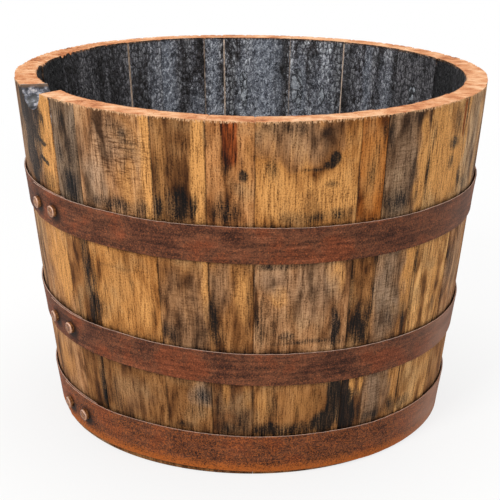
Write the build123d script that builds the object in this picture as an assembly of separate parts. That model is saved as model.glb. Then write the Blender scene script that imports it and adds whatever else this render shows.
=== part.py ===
"""Half of an oak whisky barrel, sawn across at the bilge and stood on its head as an open tub.

Millimetres, +Z up. The origin is on the ground, on the barrel's axis. The front faces -Y.
Bearings are degrees round the axis from the front, and grow towards +X.
"""
import math
import os

from build123d import *

# Barrel body
RIM_DIAMETER = 610.0
FOOT_DIAMETER = 520.0
TUB_HEIGHT = 450.0
BELLY = 2.5  # how far the middle of a stave bows out from a straight line
STAVE_THICKNESS = 28.0
FIRST_JOINT_BEARING = 0.8

# Stave widths at the rim, from the first joint round. Together they close the ring.
STAVE_WIDTHS = [
    122, 35, 66, 81, 77, 69, 72, 67, 95, 109, 94, 112,
    34, 78, 60, 69, 94, 87, 85, 136, 47, 106, 64, 55,
]
BUNG_STAVE = 20

# Bung hole, sawn through just below its axis
BUNG_OFF_CENTRE = 17.0  # along the rim, from the middle of its stave
BUNG_ABOVE_CUT = 8.0  # height of its axis over the saw cut
BUNG_MOUTH = 64.0
BUNG_THROAT = 50.0

# Chime, the stave ends below the head
CHIME_END_THICKNESS = 17.0
CHIME_BEVEL_HEIGHT = 20.0
CHIME_ARRIS = 2.0

# Head and the croze groove that holds it
HEAD_UNDERSIDE = 28.0
HEAD_THICKNESS = 24.0
HEAD_BEVEL = 22.0
CROZE_WIDTH = 7.0
CROZE_DEPTH = 7.0
CROZE_CLEARANCE = 0.3
BOARD_WIDTHS = [74, 82, 90, 86, 80, 76]
DOWEL_DIAMETER = 9.0
DOWEL_LENGTH = 48.0
DOWEL_CLEARANCE = 0.15
DOWEL_END_CLEARANCE = 1.0
DOWEL_SPREAD = 0.55  # place along the joint, from its middle to its end

# Hoops: steel strip, lapped and riveted
HOOP_THICKNESS = 2.0
HOOP_CLEARANCE = 0.35
HOOP_STAND_OFF = 0.6  # how far the upper edge springs away from the wood
LAP_LENGTH = 84.0
LAP_CLEARANCE = 0.2
LAP_END_BEARING = -64.2
JOGGLE_HALF_ANGLE = 8.0
JOGGLE_TO_END = 8.0
CORNER_CLIP = 6.0
BILGE_HOOP_HEIGHT = 311.0
BILGE_HOOP_WIDTH = 44.5
BILGE_HOOP_LEAN = (-5.0, 5.0)  # rise at the right, and at the back
QUARTER_HOOP_HEIGHT = 153.5
QUARTER_HOOP_WIDTH = 42.5
QUARTER_HOOP_LEAN = (-10.0, 5.0)
HEAD_HOOP_GAP = 6.5
HEAD_HOOP_WIDTH = 51.0
HEAD_HOOP_LEAN = (-5.0, 1.0)

# Rivets
RIVET_HEAD_DIAMETER = 14.5
RIVET_HEAD_HEIGHT = 4.6
RIVET_HEAD_ROUND = 1.8
RIVET_SHANK_DIAMETER = 8.0
RIVET_HOLE_CLEARANCE = 0.15
RIVET_SPACING = 42.0
RIVET_TO_END = 16.5

RIM_RADIUS = RIM_DIAMETER / 2
FOOT_RADIUS = FOOT_DIAMETER / 2
FULL_TURN = 360.0

# The stave's back is an arc from the foot to the rim.
CHORD = math.hypot(TUB_HEIGHT, RIM_RADIUS - FOOT_RADIUS)
BOW_RADIUS = (CHORD**2 / 4 + BELLY**2) / (2 * BELLY)
BOW_INSET = (BOW_RADIUS - BELLY) / CHORD
BOW_CENTRE_R = (RIM_RADIUS + FOOT_RADIUS) / 2 - BOW_INSET * TUB_HEIGHT
BOW_CENTRE_Z = TUB_HEIGHT / 2 + BOW_INSET * (RIM_RADIUS - FOOT_RADIUS)


def back_radius(z):
    """Outer radius of the staves at a height."""
    return BOW_CENTRE_R + math.sqrt(BOW_RADIUS**2 - (z - BOW_CENTRE_Z) ** 2)


def inside_radius(z):
    """Inner radius of the staves at a height."""
    return back_radius(z) - STAVE_THICKNESS


def polar(bearing):
    """Angle from +X of a bearing from the front."""
    return bearing - FULL_TURN / 4


def arc_edge(radius_at, low, high):
    """Arc of the stave's profile between two heights."""
    middle = (low + high) / 2
    points = [(radius_at(z), 0, z) for z in (low, middle, high)]
    return ThreePointArc(*points)


CROZE_MIDDLE = HEAD_UNDERSIDE + HEAD_THICKNESS / 2
CROZE_LOW = CROZE_MIDDLE - CROZE_WIDTH / 2
CROZE_HIGH = CROZE_MIDDLE + CROZE_WIDTH / 2
CROZE_RADIUS = inside_radius(CROZE_MIDDLE) + CROZE_DEPTH


def stave_profile():
    """Section of a stave: bowed back, sawn top, croze groove, and bevelled chime."""
    inner_run = Polyline(
        (inside_radius(CROZE_HIGH), 0, CROZE_HIGH),
        (CROZE_RADIUS, 0, CROZE_HIGH),
        (CROZE_RADIUS, 0, CROZE_LOW),
        (inside_radius(CROZE_LOW), 0, CROZE_LOW),
        (inside_radius(CHIME_BEVEL_HEIGHT), 0, CHIME_BEVEL_HEIGHT),
        (FOOT_RADIUS - CHIME_END_THICKNESS, 0, 0),
        (FOOT_RADIUS - CHIME_ARRIS, 0, 0),
        (back_radius(CHIME_ARRIS), 0, CHIME_ARRIS),
    )
    back = arc_edge(back_radius, CHIME_ARRIS, TUB_HEIGHT)
    saw_cut = Line((RIM_RADIUS, 0, TUB_HEIGHT), (RIM_RADIUS - STAVE_THICKNESS, 0, TUB_HEIGHT))
    inside = arc_edge(inside_radius, CROZE_HIGH, TUB_HEIGHT)
    return make_face([*inner_run.edges(), back, saw_cut, inside])


def bung_cutter(bearing):
    """Tapered bung hole, with its axis over the saw cut."""
    mouth_radius = RIM_RADIUS + STAVE_THICKNESS
    depth = 3 * STAVE_THICKNESS
    taper = (BUNG_MOUTH - BUNG_THROAT) / 2 / STAVE_THICKNESS
    big = BUNG_MOUTH / 2 + taper * STAVE_THICKNESS
    small = big - taper * depth
    cone = Cone(big, small, depth, align=(Align.CENTER, Align.CENTER, Align.MIN))
    return Rot(Z=polar(bearing)) * Pos(mouth_radius, 0, TUB_HEIGHT + BUNG_ABOVE_CUT) * Rot(Y=-90) * cone


def make_staves():
    """Every stave of the ring, cut from one bowed section."""
    section = stave_profile()
    ring = sum(STAVE_WIDTHS)
    bearing = FIRST_JOINT_BEARING
    for number, width in enumerate(STAVE_WIDTHS, start=1):
        turn = FULL_TURN * width / ring
        stave = Rot(Z=polar(bearing)) * revolve(section, Axis.Z, turn)
        if number == BUNG_STAVE:
            off_centre = math.degrees(BUNG_OFF_CENTRE / RIM_RADIUS)
            yield "bung_stave", stave - bung_cutter(bearing + turn / 2 + off_centre)
        else:
            yield f"stave_{number - (number > BUNG_STAVE):02d}", stave
        bearing += turn


HEAD_RADIUS = CROZE_RADIUS - CROZE_CLEARANCE
TONGUE_HALF = CROZE_WIDTH / 2 - CROZE_CLEARANCE


def head_disc():
    """The whole head, bevelled at its edge to a tongue that enters the croze."""
    tongue_root = inside_radius(CROZE_LOW) - CROZE_CLEARANCE
    flat = tongue_root - HEAD_BEVEL
    low, high = HEAD_UNDERSIDE, HEAD_UNDERSIDE + HEAD_THICKNESS
    outline = Polyline(
        (0, 0, low),
        (flat, 0, low),
        (tongue_root, 0, CROZE_MIDDLE - TONGUE_HALF),
        (HEAD_RADIUS, 0, CROZE_MIDDLE - TONGUE_HALF),
        (HEAD_RADIUS, 0, CROZE_MIDDLE + TONGUE_HALF),
        (tongue_root, 0, CROZE_MIDDLE + TONGUE_HALF),
        (flat, 0, high),
        (0, 0, high),
        close=True,
    )
    return revolve(make_face(outline.edges()), Axis.Z, FULL_TURN)


def dowel(x, y, radius, length):
    """A dowel across a head joint."""
    return Pos(x, y, CROZE_MIDDLE) * Rot(X=90) * Cylinder(radius, length)


def make_head():
    """The head boards, side by side along X, and the dowels in their joints."""
    disc = head_disc()
    scale = 2 * HEAD_RADIUS / sum(BOARD_WIDTHS)
    joints = [-HEAD_RADIUS]
    for width in BOARD_WIDTHS:
        joints.append(joints[-1] + width * scale)
    places = []
    for joint in joints[1:-1]:
        reach = DOWEL_SPREAD * math.sqrt(HEAD_RADIUS**2 - joint**2)
        places += [(-reach, joint), (reach, joint)]
    hole_radius = DOWEL_DIAMETER / 2 + DOWEL_CLEARANCE
    hole_length = DOWEL_LENGTH + 2 * DOWEL_END_CLEARANCE
    holes = [dowel(x, y, hole_radius, hole_length) for x, y in places]
    for number, (near, far) in enumerate(zip(joints, joints[1:]), start=1):
        slab = Pos(0, (near + far) / 2, CROZE_MIDDLE) * Box(2 * HEAD_RADIUS, far - near, 2 * HEAD_THICKNESS)
        yield f"head_board_{number}", (disc & slab) - holes
    yield "head_dowels", Compound([dowel(x, y, DOWEL_DIAMETER / 2, DOWEL_LENGTH) for x, y in places])


def make_hoop(low, width, lean):
    """A lapped hoop with its two rivets, driven on with a slight lean."""
    high = low + width
    middle = low + width / 2
    seat = back_radius(middle)
    # A leaning hoop needs room for its edges, which swing in on the low and high sides.
    room = HOOP_CLEARANCE + width / 2 * math.hypot(*lean) / seat
    inner_low = back_radius(low) + room
    inner_high = back_radius(high) + room + HOOP_STAND_OFF

    def strip(centre, offset, start, turn):
        corners = [
            (inner_low + offset, 0, low),
            (inner_low + offset + HOOP_THICKNESS, 0, low),
            (inner_high + offset + HOOP_THICKNESS, 0, high),
            (inner_high + offset, 0, high),
        ]
        face = make_face(Polyline(*corners, close=True).edges())
        return Pos(*centre) * Rot(Z=start) * revolve(face, Axis.Z, turn)

    # The outer end, on the left, steps out over the inner end by a joggle of two equal and opposite bends.
    step = HOOP_THICKNESS + LAP_CLEARANCE
    bend = math.radians(JOGGLE_HALF_ANGLE)
    swing = step / (2 * (1 - math.cos(bend)))
    lap_turn = math.degrees(LAP_LENGTH / seat)
    lap_end = polar(LAP_END_BEARING)
    inner_end = lap_end + lap_turn
    joggle_end = inner_end + math.degrees(JOGGLE_TO_END / seat)
    joggle_middle = joggle_end + JOGGLE_HALF_ANGLE
    joggle_start = joggle_middle + JOGGLE_HALF_ANGLE

    def away(distance, angle):
        return Vector(distance, 0, 0).rotate(Axis.Z, angle)

    out_centre = away(-swing, joggle_start)
    back_centre = away(swing, joggle_end)
    plain = strip((0, 0, 0), 0, joggle_start, FULL_TURN + inner_end - joggle_start)
    bend_out = strip(out_centre, swing, joggle_middle, JOGGLE_HALF_ANGLE)
    bend_back = strip(back_centre, swing - 2 * swing * math.cos(bend), joggle_end, JOGGLE_HALF_ANGLE)
    lap = strip((0, 0, 0), step, lap_end, joggle_end - lap_end)
    clip = CORNER_CLIP * math.sqrt(2)
    for z, inner in ((low, inner_low), (high, inner_high)):
        corner = Pos(inner + step + HOOP_THICKNESS / 2, 0, z)
        lap -= Rot(Z=lap_end) * corner * Rot(X=45) * Box(HOOP_THICKNESS + step, clip, clip)
    hoop = plain + bend_out + bend_back + lap

    # Rivets stand square to the strip.
    inner_middle = (inner_low + inner_high) / 2
    pitch = math.degrees(math.atan2(inner_high - inner_low, width))
    grip = step + HOOP_THICKNESS
    rivets = []
    for run in (RIVET_TO_END, RIVET_TO_END + RIVET_SPACING):
        seat_place = Rot(Z=lap_end + math.degrees(run / seat)) * Pos(inner_middle + grip, 0, middle)
        stand = seat_place * Rot(Y=90 + pitch)
        bottom = (Align.CENTER, Align.CENTER, Align.MIN)
        top = (Align.CENTER, Align.CENTER, Align.MAX)
        hole = Cylinder(RIVET_SHANK_DIAMETER / 2 + RIVET_HOLE_CLEARANCE, 3 * grip)
        head = Cylinder(RIVET_HEAD_DIAMETER / 2, RIVET_HEAD_HEIGHT, align=bottom)
        head = fillet(head.edges().sort_by(Axis.Z)[-1], RIVET_HEAD_ROUND)
        shank = Cylinder(RIVET_SHANK_DIAMETER / 2, grip, align=top)
        hoop -= stand * hole
        rivets.append(stand * (head + shank))

    slope = (back_radius(high) - back_radius(low)) / width
    tilt_right, tilt_back = (math.degrees(math.atan(rise / seat)) for rise in lean)
    shift = Pos(slope * lean[0], slope * lean[1], middle)
    driven = shift * Rot(X=tilt_back, Y=-tilt_right) * Pos(0, 0, -middle)
    return driven * hoop, Compound([driven * rivet for rivet in rivets])


def make_hoops():
    """The three hoops, from the top down."""
    places = {
        "bilge_hoop": (BILGE_HOOP_HEIGHT - BILGE_HOOP_WIDTH / 2, BILGE_HOOP_WIDTH, BILGE_HOOP_LEAN),
        "quarter_hoop": (QUARTER_HOOP_HEIGHT - QUARTER_HOOP_WIDTH / 2, QUARTER_HOOP_WIDTH, QUARTER_HOOP_LEAN),
        "head_hoop": (HEAD_HOOP_GAP, HEAD_HOOP_WIDTH, HEAD_HOOP_LEAN),
    }
    for name, place in places.items():
        hoop, rivets = make_hoop(*place)
        yield name, hoop
        yield f"{name}_rivets", rivets


os.makedirs("parts", exist_ok=True)
for pieces in (make_staves(), make_head(), make_hoops()):
    for name, piece in pieces:
        export_step(piece, f"parts/{name}.step")
        print(name, round(piece.volume), "mm3")
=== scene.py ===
import math

import bpy
import numpy as np
from mathutils import Matrix, Vector, noise


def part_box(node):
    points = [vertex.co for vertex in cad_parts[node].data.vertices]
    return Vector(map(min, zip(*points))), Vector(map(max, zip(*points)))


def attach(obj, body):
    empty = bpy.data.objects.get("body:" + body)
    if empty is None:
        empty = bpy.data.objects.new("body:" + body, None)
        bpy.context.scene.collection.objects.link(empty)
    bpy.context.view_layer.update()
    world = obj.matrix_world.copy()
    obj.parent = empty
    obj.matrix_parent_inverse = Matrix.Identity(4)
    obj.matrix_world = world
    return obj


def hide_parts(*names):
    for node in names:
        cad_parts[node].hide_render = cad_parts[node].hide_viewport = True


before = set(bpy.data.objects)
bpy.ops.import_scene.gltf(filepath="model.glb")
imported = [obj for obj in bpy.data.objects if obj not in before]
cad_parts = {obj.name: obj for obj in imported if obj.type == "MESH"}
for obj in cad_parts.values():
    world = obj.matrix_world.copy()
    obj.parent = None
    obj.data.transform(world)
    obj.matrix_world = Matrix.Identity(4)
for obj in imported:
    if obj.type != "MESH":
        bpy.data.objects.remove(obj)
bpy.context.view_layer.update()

# Staves. Cleft oak, bent over a fire and held only by the hoops; the inside is charred for the whisky.
# The barrel was sawn across at the bilge, so every stave ends in a fresh cut at the rim, and in a bevelled
# chime at the foot. Sizes are in mm and bearings in degrees from the front, to the right.
MM = 0.001
TUB_HEIGHT = 450.0
RIM_RADIUS = 305.0
FOOT_RADIUS = 260.0
BELLY = 2.5
STAVE_THICKNESS = 28.0
THICKNESS_SPREAD = 1.6
CROZE_LOW, CROZE_HIGH, CROZE_DEPTH = 36.5, 43.5, 7.0
CHIME_ARRIS, CHIME_END, CHIME_BEVEL = 2.0, 17.0, 20.0
JOINT_GAP = 0.25
STATION_SPACING, STATION_LEAST = 2.7, 1.2
ARRIS_STATIONS = (0.0, 0.6, 1.5, 2.8)
SHARP_ANGLE = 38.0
ARRIS_WIDTH, ARRIS_DROP, CUT_ARRIS_DROP = 2.4, 1.1, 0.8
FREE_FROM = 345.0  # above the bilge hoop the sawn staves spring a little in or out
SHAPED_FROM = 330.0  # the bung hole and the saw's wander only change a stave above this
SAW_WANDER = 4.5  # the cut is this much higher on the left
UNDULATION = 0.22
CHIP_WIDTH, CHIP_DEPTH, CHIP_DROP, NOTCH_CHIP = 6.0, 3.6, 0.9, 0.4
CHIP_DOWN, CHIP_IN = 2.6, 1.8  # a chip fades over these lengths from the outer edge of the rim
TEAR = 0.6, 7.0  # how deep the saw tore the cut, and how much more on the left
TEAR_BEARING, TEAR_SPREAD = -100.0, 26.0
CHAR_CELL, CHAR_DEPTH, CRACK_EDGE = (6.5, 30, 10.5), 1.0, 0.3
CHAR_SWELL, CHAR_MARGIN = 0.7, 3.0
WEAR_WAVE, SHAVE_WAVE, TEAR_WAVE, SWELL_WAVE = (9, 9, 40), (17, 30, 110), (6, 5, 30), (14, 30, 30)
GRAIN_SHIFT = 173.0  # no two staves are cut from the same stretch of grain
THICKNESS_TURN = 0.618  # the golden ratio spreads the staves' thicknesses evenly
BUNG_STAVE = "bung_stave"
BUNG_OFF_CENTRE, BUNG_ABOVE_CUT, BUNG_MOUTH, BUNG_THROAT = 17.0, 8.0, 32.0, 25.0
BUNG_SWELL, BUNG_SWELL_WIDTH = 5.0, 48.0  # the stave is left thicker inside, round the hole
BUNG_STATIONS = 31
BACK, CUT, CHAR, RAW, NOTCH = range(5)

# Height of each hoop's middle, its width, and its rise at the right and at the back. Its rust stains the
# wood, and the wood along its edges is darkened as painted shade as well.
HOOPS = {
    "bilge_hoop": (311.0, 44.5, (-5.0, 5.0)),
    "quarter_hoop": (153.5, 42.5, (-10.0, 5.0)),
    "head_hoop": (32.0, 51.0, (-5.0, 1.0)),
}

# The light end of each stave's colour. The grain darkens it.
OAK_TONES = {
    "straw": "ffc27c",
    "cream": "f6c894",
    "gold": "dd9c58",
    "honey": "d6965d",
    "tan": "d8a272",
    "dun": "c28a54",
    "grey": "b48b66",
    "umber": "b07d4c",
    "bark": "8f603a",
    "orange": "d48238",
    "rust": "c87a34",
    "slate": "a48a72",
}
# The darkest char tone, on stave_08 and stave_18, is partly painted shade: it darkens the inside where the
# side walls turn away from the light.
CHAR_TONES = {"pitch_and_shade": "2a282b", "tar": "4a484b", "coal": "8e8b8e", "soot": "c6c5ca", "ash": "fafbff"}

# Tones of each stave at its top, middle and foot, tone of its charred inside, and how far it stands proud at
# the rim. The outer tones change behind the hoops, from a height over a length.
TOP_TONE_FROM, MIDDLE_TONE_FROM, TONE_CHANGE = 288, 131, (45, 44)
STAVES = {
    "stave_01": ("gold tan dun", "soot", 0.4),
    "stave_02": ("rust dun bark", "soot", -0.6),
    "stave_03": ("grey dun dun", "coal", 0.2),
    "stave_04": ("straw straw straw", "coal", -0.3),
    "stave_05": ("cream tan dun", "coal", 0.9),
    "stave_06": ("honey tan tan", "coal", -0.8),
    "stave_07": ("dun umber dun", "tar", 0.3),
    "stave_08": ("gold tan dun", "pitch_and_shade", 0.8),
    "stave_09": ("tan dun umber", "coal", -0.5),
    "stave_10": ("honey gold tan", "soot", 0.5),
    "stave_11": ("umber dun bark", "ash", -0.2),
    "stave_12": ("tan gold dun", "ash", 0.3),
    "stave_13": ("orange umber bark", "ash", -0.6),
    "stave_14": ("grey dun dun", "soot", 0.2),
    "stave_15": ("gold tan umber", "soot", -0.4),
    "stave_16": ("dun tan tan", "coal", 0.6),
    "stave_17": ("honey dun umber", "coal", -1.5),
    "stave_18": ("tan umber dun", "pitch_and_shade", -2.5),
    "stave_19": ("dun gold tan", "tar", -0.5),
    "bung_stave": ("tan tan tan", "coal", 0.8),
    "stave_20": ("slate dun umber", "soot", -0.5),
    "stave_21": ("tan gold umber", "soot", 0.3),
    "stave_22": ("umber dun umber", "soot", -0.2),
    "stave_23": ("honey dun bark", "soot", 0.1),
}

# Marks on the staves: bearing, height, half width in degrees, half height, strength. Iron stains the wood
# blue-black, the weather greys it, rust runs down it in red, and some strips have stayed golden.
RAGGED_SHARE, RAGGED_WAVES, RAGGED_SHIFT = 0.5, ((10, 9, 26), (14, 9, 34)), 50.0
GRIME_WIDTH, GRIME_WAVE = 1.4, (5, 5, 25)  # dirt in the joints
STAIN_AND_SHADE_ABOVE, STAIN_AND_SHADE_BELOW = (0.72, 5.0, 4.0), (0.6, 3.0)  # strength of a hoop's own stain with painted shade along its edges, its reach and spread
BARE_WIDTH = 0.6
IRON_STAINS = {
    "bung_stave": [(-62.4, 420, 6.0, 40, 2.4), (-63, 378, 4.2, 60, 2.0), (-57.4, 397, 0.9, 2.4, 2.6),
                   (-56.2, 395, 0.9, 2.4, 2.6), (-55.0, 392, 0.9, 2.2, 2.4),
                   (-57.2, 375, 0.9, 2.4, 2.6), (-55.8, 372, 0.9, 2.4, 2.6),
                   (-54.5, 369, 0.9, 2.2, 2.4), (-66.6, 250, 1.2, 60, 0.7), (-58.6, 428, 1.2, 16, 0.8),
                   (-55, 345, 4.0, 12, 0.7), (-62.4, 235, 1.4, 40, 0.5), (-48.2, 350, 0.8, 10, 0.8),
                   (-72, 395, 3.0, 80, 0.4), (-73, 240, 2.6, 44, 0.5), (-67, 96, 1.0, 36, 0.3)],
    "stave_20": [(-45.0, 350, 3.2, 25, 1.1), (-43.6, 392, 2.0, 44, 0.6), (-48.4, 388, 1.5, 16, 0.8),
                 (-47, 430, 2.0, 18, 0.6), (-43.0, 262, 1.5, 46, 1.0), (-41.8, 205, 1.9, 50, 1.3),
                 (-41.6, 95, 1.5, 46, 1.1), (-47.6, 200, 0.8, 20, 0.9), (-40.9, 108, 0.6, 28, 0.8)],
    "stave_21": [(-36, 341, 2.4, 8, 0.8), (-30.8, 340, 3.8, 9, 1.1), (-25, 341, 2.4, 10, 0.8),
                 (-30.5, 438, 1.6, 9, 0.4), (-28.5, 428, 1.2, 6, 0.6), (-27, 418, 5.0, 2.2, 0.5),
                 (-26.4, 410, 5.0, 2.2, 0.5), (-25.6, 402, 4.4, 2.2, 0.45), (-33, 402, 3.0, 10, 0.2),
                 (-40.6, 215, 1.4, 40, 0.9), (-38, 212, 2.0, 30, 0.4), (-29, 245, 0.6, 16, 0.5),
                 (-33, 262, 7.0, 2.4, 0.4), (-38, 82, 2.4, 24, 0.5)],
    "stave_22": [(-15.8, 348, 3.2, 22, 1.3), (-16.0, 395, 3.4, 90, 0.25), (-20.6, 348, 1.0, 18, 1.1),
                 (-20.4, 365, 0.8, 40, 0.45), (-19.4, 186, 2.0, 14, 0.8), (-11.4, 186, 1.6, 12, 0.3),
                 (-11.6, 106, 2.8, 11, 1.0), (-16, 66, 4.0, 5, 0.8), (-10.4, 205, 0.7, 24, 0.6),
                 (-13.6, 86, 2.2, 12, 0.8)],
    "stave_23": [(-5.2, 404, 1.1, 16, 0.6), (-6.2, 430, 0.6, 26, 0.6), (-1.7, 389, 0.9, 6, 2.0),
                 (-1.9, 404, 0.5, 6, 0.6), (-6.2, 346, 2.2, 20, 1.0), (-3.4, 345, 1.6, 14, 0.8),
                 (-8.6, 205, 1.3, 30, 1.2), (-7.4, 86, 1.2, 30, 0.75), (-2.2, 76, 2.4, 18, 1.0),
                 (-6.0, 66, 3.4, 12, 1.0), (-4.4, 110, 0.5, 24, 0.7), (-0.4, 225, 0.5, 50, 0.4),
                 (-2.6, 372, 1.2, 12, 0.7), (-7.0, 194, 1.2, 16, 0.7)],
    "stave_01": [(18.1, 405, 1.1, 7, 2.2), (17.0, 399, 1.3, 4, 1.5), (13.5, 394, 3.2, 2.2, 0.9),
                 (12.6, 346, 2.2, 20, 0.4), (19.6, 338, 2.4, 8, 0.85), (12.0, 337, 6.0, 9, 0.9),
                 (17.4, 376, 1.5, 3.5, 0.7), (4.0, 445, 2.0, 7, 0.7), (9.0, 442, 2.6, 7, 0.7),
                 (15.5, 437, 1.4, 5, 0.6), (2.0, 202, 1.6, 26, 0.85), (8.6, 190, 1.9, 5, 1.1),
                 (14.0, 182, 9.0, 2.6, 0.9), (20.4, 196, 1.2, 24, 1.3), (5.4, 94, 1.6, 24, 0.6),
                 (8.0, 62, 9.0, 11, 1.2), (21.9, 96, 1.8, 40, 2.6), (20.2, 68, 3.6, 15, 1.8),
                 # The spots at (6.0, 280) and (20.6, 177) darken the wood just under the bilge hoop and just
                 # over the quarter hoop: painted shade, with the hoops' iron stain.
                 (4.6, 394, 1.3, 12, 0.8), (6.0, 280, 6.0, 4, 0.9), (5.0, 205, 3.2, 22, 0.5),
                 (20.6, 177, 3.4, 4, 0.8)],
    "stave_02": [(29.8, 436, 1.2, 22, 0.7), (23.9, 235, 0.5, 60, 0.9), (27.4, 192, 3.2, 30, 1.1),
                 (30.2, 222, 0.6, 54, 1.1), (26.6, 386, 1.0, 18, 0.6), (28.2, 415, 0.8, 14, 0.6),
                 (25.6, 76, 2.5, 30, 2.6), (24.4, 112, 1.1, 24, 2.4), (29.4, 74, 1.6, 18, 0.85)],
    "stave_03": [(37.4, 368, 1.8, 34, 0.6), (34.5, 344, 4.6, 16, 1.0), (31.2, 436, 1.0, 26, 0.8),
                 (37.4, 434, 2.0, 16, 0.5), (36.0, 190, 2.4, 16, 0.5), (34.4, 62, 4.0, 7, 0.7),
                 (40.8, 188, 0.9, 20, 0.9), (40.4, 66, 1.6, 14, 0.9)],
    "stave_04": [(43.3, 370, 0.5, 36, 1.0), (54, 424, 2.2, 18, 0.6), (50.5, 445, 5.0, 5, 0.3),
                 (53, 398, 1.8, 8, 1.1), (52.4, 374, 1.2, 9, 1.1), (43.2, 230, 0.5, 60, 0.75),
                 (57.4, 348, 0.9, 20, 0.9), (44.2, 415, 0.7, 16, 0.8), (53.4, 190, 1.0, 12, 0.7),
                 (45.0, 64, 3.6, 8, 0.9)],
    "stave_05": [(64.4, 385, 1.6, 50, 0.5), (70.5, 350, 2.0, 24, 0.6), (60.5, 225, 3.0, 36, 0.7),
                 (61, 341, 3.2, 10, 0.8)],
}
# Stains of the staves that have none above, a third of these for each. The first value is a share of the
# stave's width.
BACK_STAINS = [
    (0.3, 356, 2.4, 60, 0.9), (0.7, 350, 2.0, 40, 1.0), (0.1, 390, 1.2, 90, 0.8),
    (0.8, 205, 1.4, 80, 0.9), (0.2, 190, 2.6, 40, 0.8), (0.6, 225, 0.9, 90, 0.8),
    (0.5, 84, 2.0, 50, 1.0), (0.9, 96, 1.2, 70, 0.9), (0.4, 66, 4.0, 16, 0.9),
    (0.6, 428, 1.6, 40, 0.7), (0.4, 405, 0.9, 6, 1.6), (0.8, 345, 3.4, 20, 0.8),
]
GREY_WEATHER = {
    "bung_stave": [(-71, 392, 7.0, 70, 0.7), (-71, 235, 5.0, 60, 0.5)],
    "stave_20": [(-45.5, 385, 4.8, 70, 0.5)],
    "stave_21": [(-32, 416, 6.0, 34, 0.6), (-33, 92, 8.0, 34, 0.3), (-40, 395, 2.0, 50, 0.5),
                 (-37, 370, 4.0, 44, 0.8)],
    "stave_22": [(-15, 205, 7.0, 70, 0.5), (-11.8, 108, 3.4, 16, 0.9)],
    "stave_23": [(-7, 250, 3.0, 30, 0.5)],
    "stave_01": [(5, 262, 5.0, 24, 0.6), (15, 250, 6.0, 44, 0.6), (10, 430, 10.0, 28, 0.6)],
    "stave_03": [(34.6, 395, 4.4, 80, 0.6), (33.8, 232, 5.0, 80, 0.9), (33.6, 95, 5.0, 50, 0.85)],
    "stave_05": [(65, 400, 6.0, 80, 0.7), (66, 235, 5.0, 60, 0.5)],
    "stave_07": [(93, 395, 5.0, 70, 0.8), (92, 110, 6.0, 60, 0.8)],
    "stave_11": [(158, 330, 6.0, 120, 0.8)],
    "stave_14": [(-157, 395, 6.0, 80, 0.9), (-157, 160, 6.0, 80, 0.8)],
    "stave_18": [(-102, 390, 5.0, 70, 0.7), (-101, 210, 5.0, 70, 0.8)],
}
RED_RUNS = {
    "stave_23": [(-4.5, 440, 1.7, 34, 1.2)],
    "stave_04": [(56.6, 428, 0.6, 26, 0.9)],
    "stave_09": [(117, 420, 1.6, 46, 0.9)],
}
GOLD_STRIPS = {
    "bung_stave": [(-53.2, 400, 3.0, 80, 1.2), (-55, 240, 6.0, 60, 0.8), (-61, 92, 5.0, 34, 0.5)],
    "stave_21": [(-22.6, 395, 1.4, 80, 1.1), (-33, 235, 7.0, 50, 0.5), (-27.5, 368, 3.6, 34, 0.5),
                 (-27, 425, 4.0, 26, 0.5), (-25.5, 214, 2.4, 30, 0.6)],
    "stave_22": [(-19.6, 395, 1.4, 90, 0.35), (-11.2, 395, 1.4, 90, 1.4), (-10.4, 255, 0.8, 40, 0.9)],
    "stave_23": [(-0.6, 400, 1.2, 60, 0.4), (-6.0, 112, 1.0, 22, 0.5), (-0.8, 108, 1.4, 20, 0.5),
                 (-1.8, 244, 1.8, 34, 0.65)],
    "stave_01": [(6, 366, 6.0, 30, 0.85), (18.5, 364, 5.0, 30, 1.1), (6.5, 243, 2.4, 12, 0.9),
                 (3.4, 100, 2.0, 26, 0.5), (13, 100, 6.0, 26, 0.35), (19.6, 262, 2.6, 22, 0.8)],
    "stave_02": [(27, 390, 3.0, 60, 0.55), (26.6, 110, 0.8, 20, 1.2), (29.2, 114, 0.7, 12, 1.2)],
    "stave_03": [(41.0, 372, 1.8, 60, 1.3), (40.6, 248, 2.0, 44, 1.0), (40.6, 100, 2.0, 36, 0.6)],
    "stave_04": [(46.8, 395, 3.4, 54, 1.3), (53, 364, 4.6, 34, 1.1), (52.2, 226, 1.2, 30, 0.6)],
    "stave_05": [(58.7, 425, 0.6, 60, 1.2), (68.2, 395, 1.4, 80, 0.8)],
}
SCRAPES = {  # left across the grain by the cooper's shave
    "stave_21": [(-29.5, 404, 7.0, 44, 1.2)],
    "stave_22": [(-15, 225, 6.0, 60, 0.6)],
    "stave_23": [(-4.5, 255, 4.6, 40, 0.5)],
    "stave_01": [(11, 240, 9.0, 34, 0.6)],
    "stave_03": [(35, 400, 4.4, 90, 0.6), (34, 232, 5.0, 80, 0.7), (34, 95, 5.0, 50, 0.7)],
    "stave_10": [(138, 390, 7.0, 60, 1.0)],
    "stave_16": [(-132, 230, 6.0, 60, 0.9)],
}

# Marks inside: pale flakes of ash, a thin haze of it, heavy soot, and joints whose arrises have lost their
# char.
ASH_FLAKES = {
    "stave_09": [(121.5, 388, 2.6, 18, 0.9)],
    "stave_11": [(165.4, 372, 1.9, 30, 1.3), (166.4, 320, 1.3, 12, 1.3), (163.2, 332, 1.2, 12, 1.1),
                 (157, 372, 2.0, 24, 0.8)],
    "stave_12": [(182.5, 372, 1.6, 26, 1.2), (188, 312, 1.2, 12, 1.2), (185, 365, 0.9, 10, 1.1)],
}
ASH_HAZE = {
    "stave_10": [(141, 390, 1.3, 120, 0.6), (134, 370, 2.4, 60, 0.4)],
    "stave_11": [(157, 372, 4.0, 60, 0.45), (164.5, 360, 2.6, 60, 0.7)],
    "stave_12": [(176, 375, 4.6, 160, 1.0), (182, 372, 3.0, 60, 0.7)],
    "stave_13": [(-167.6, 375, 2.0, 140, 0.85)],
    "stave_14": [(-152.6, 385, 2.6, 130, 0.85), (-162, 330, 2.0, 50, 0.5)],
    "stave_15": [(-148, 385, 2.0, 60, 0.4)],
}
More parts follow.
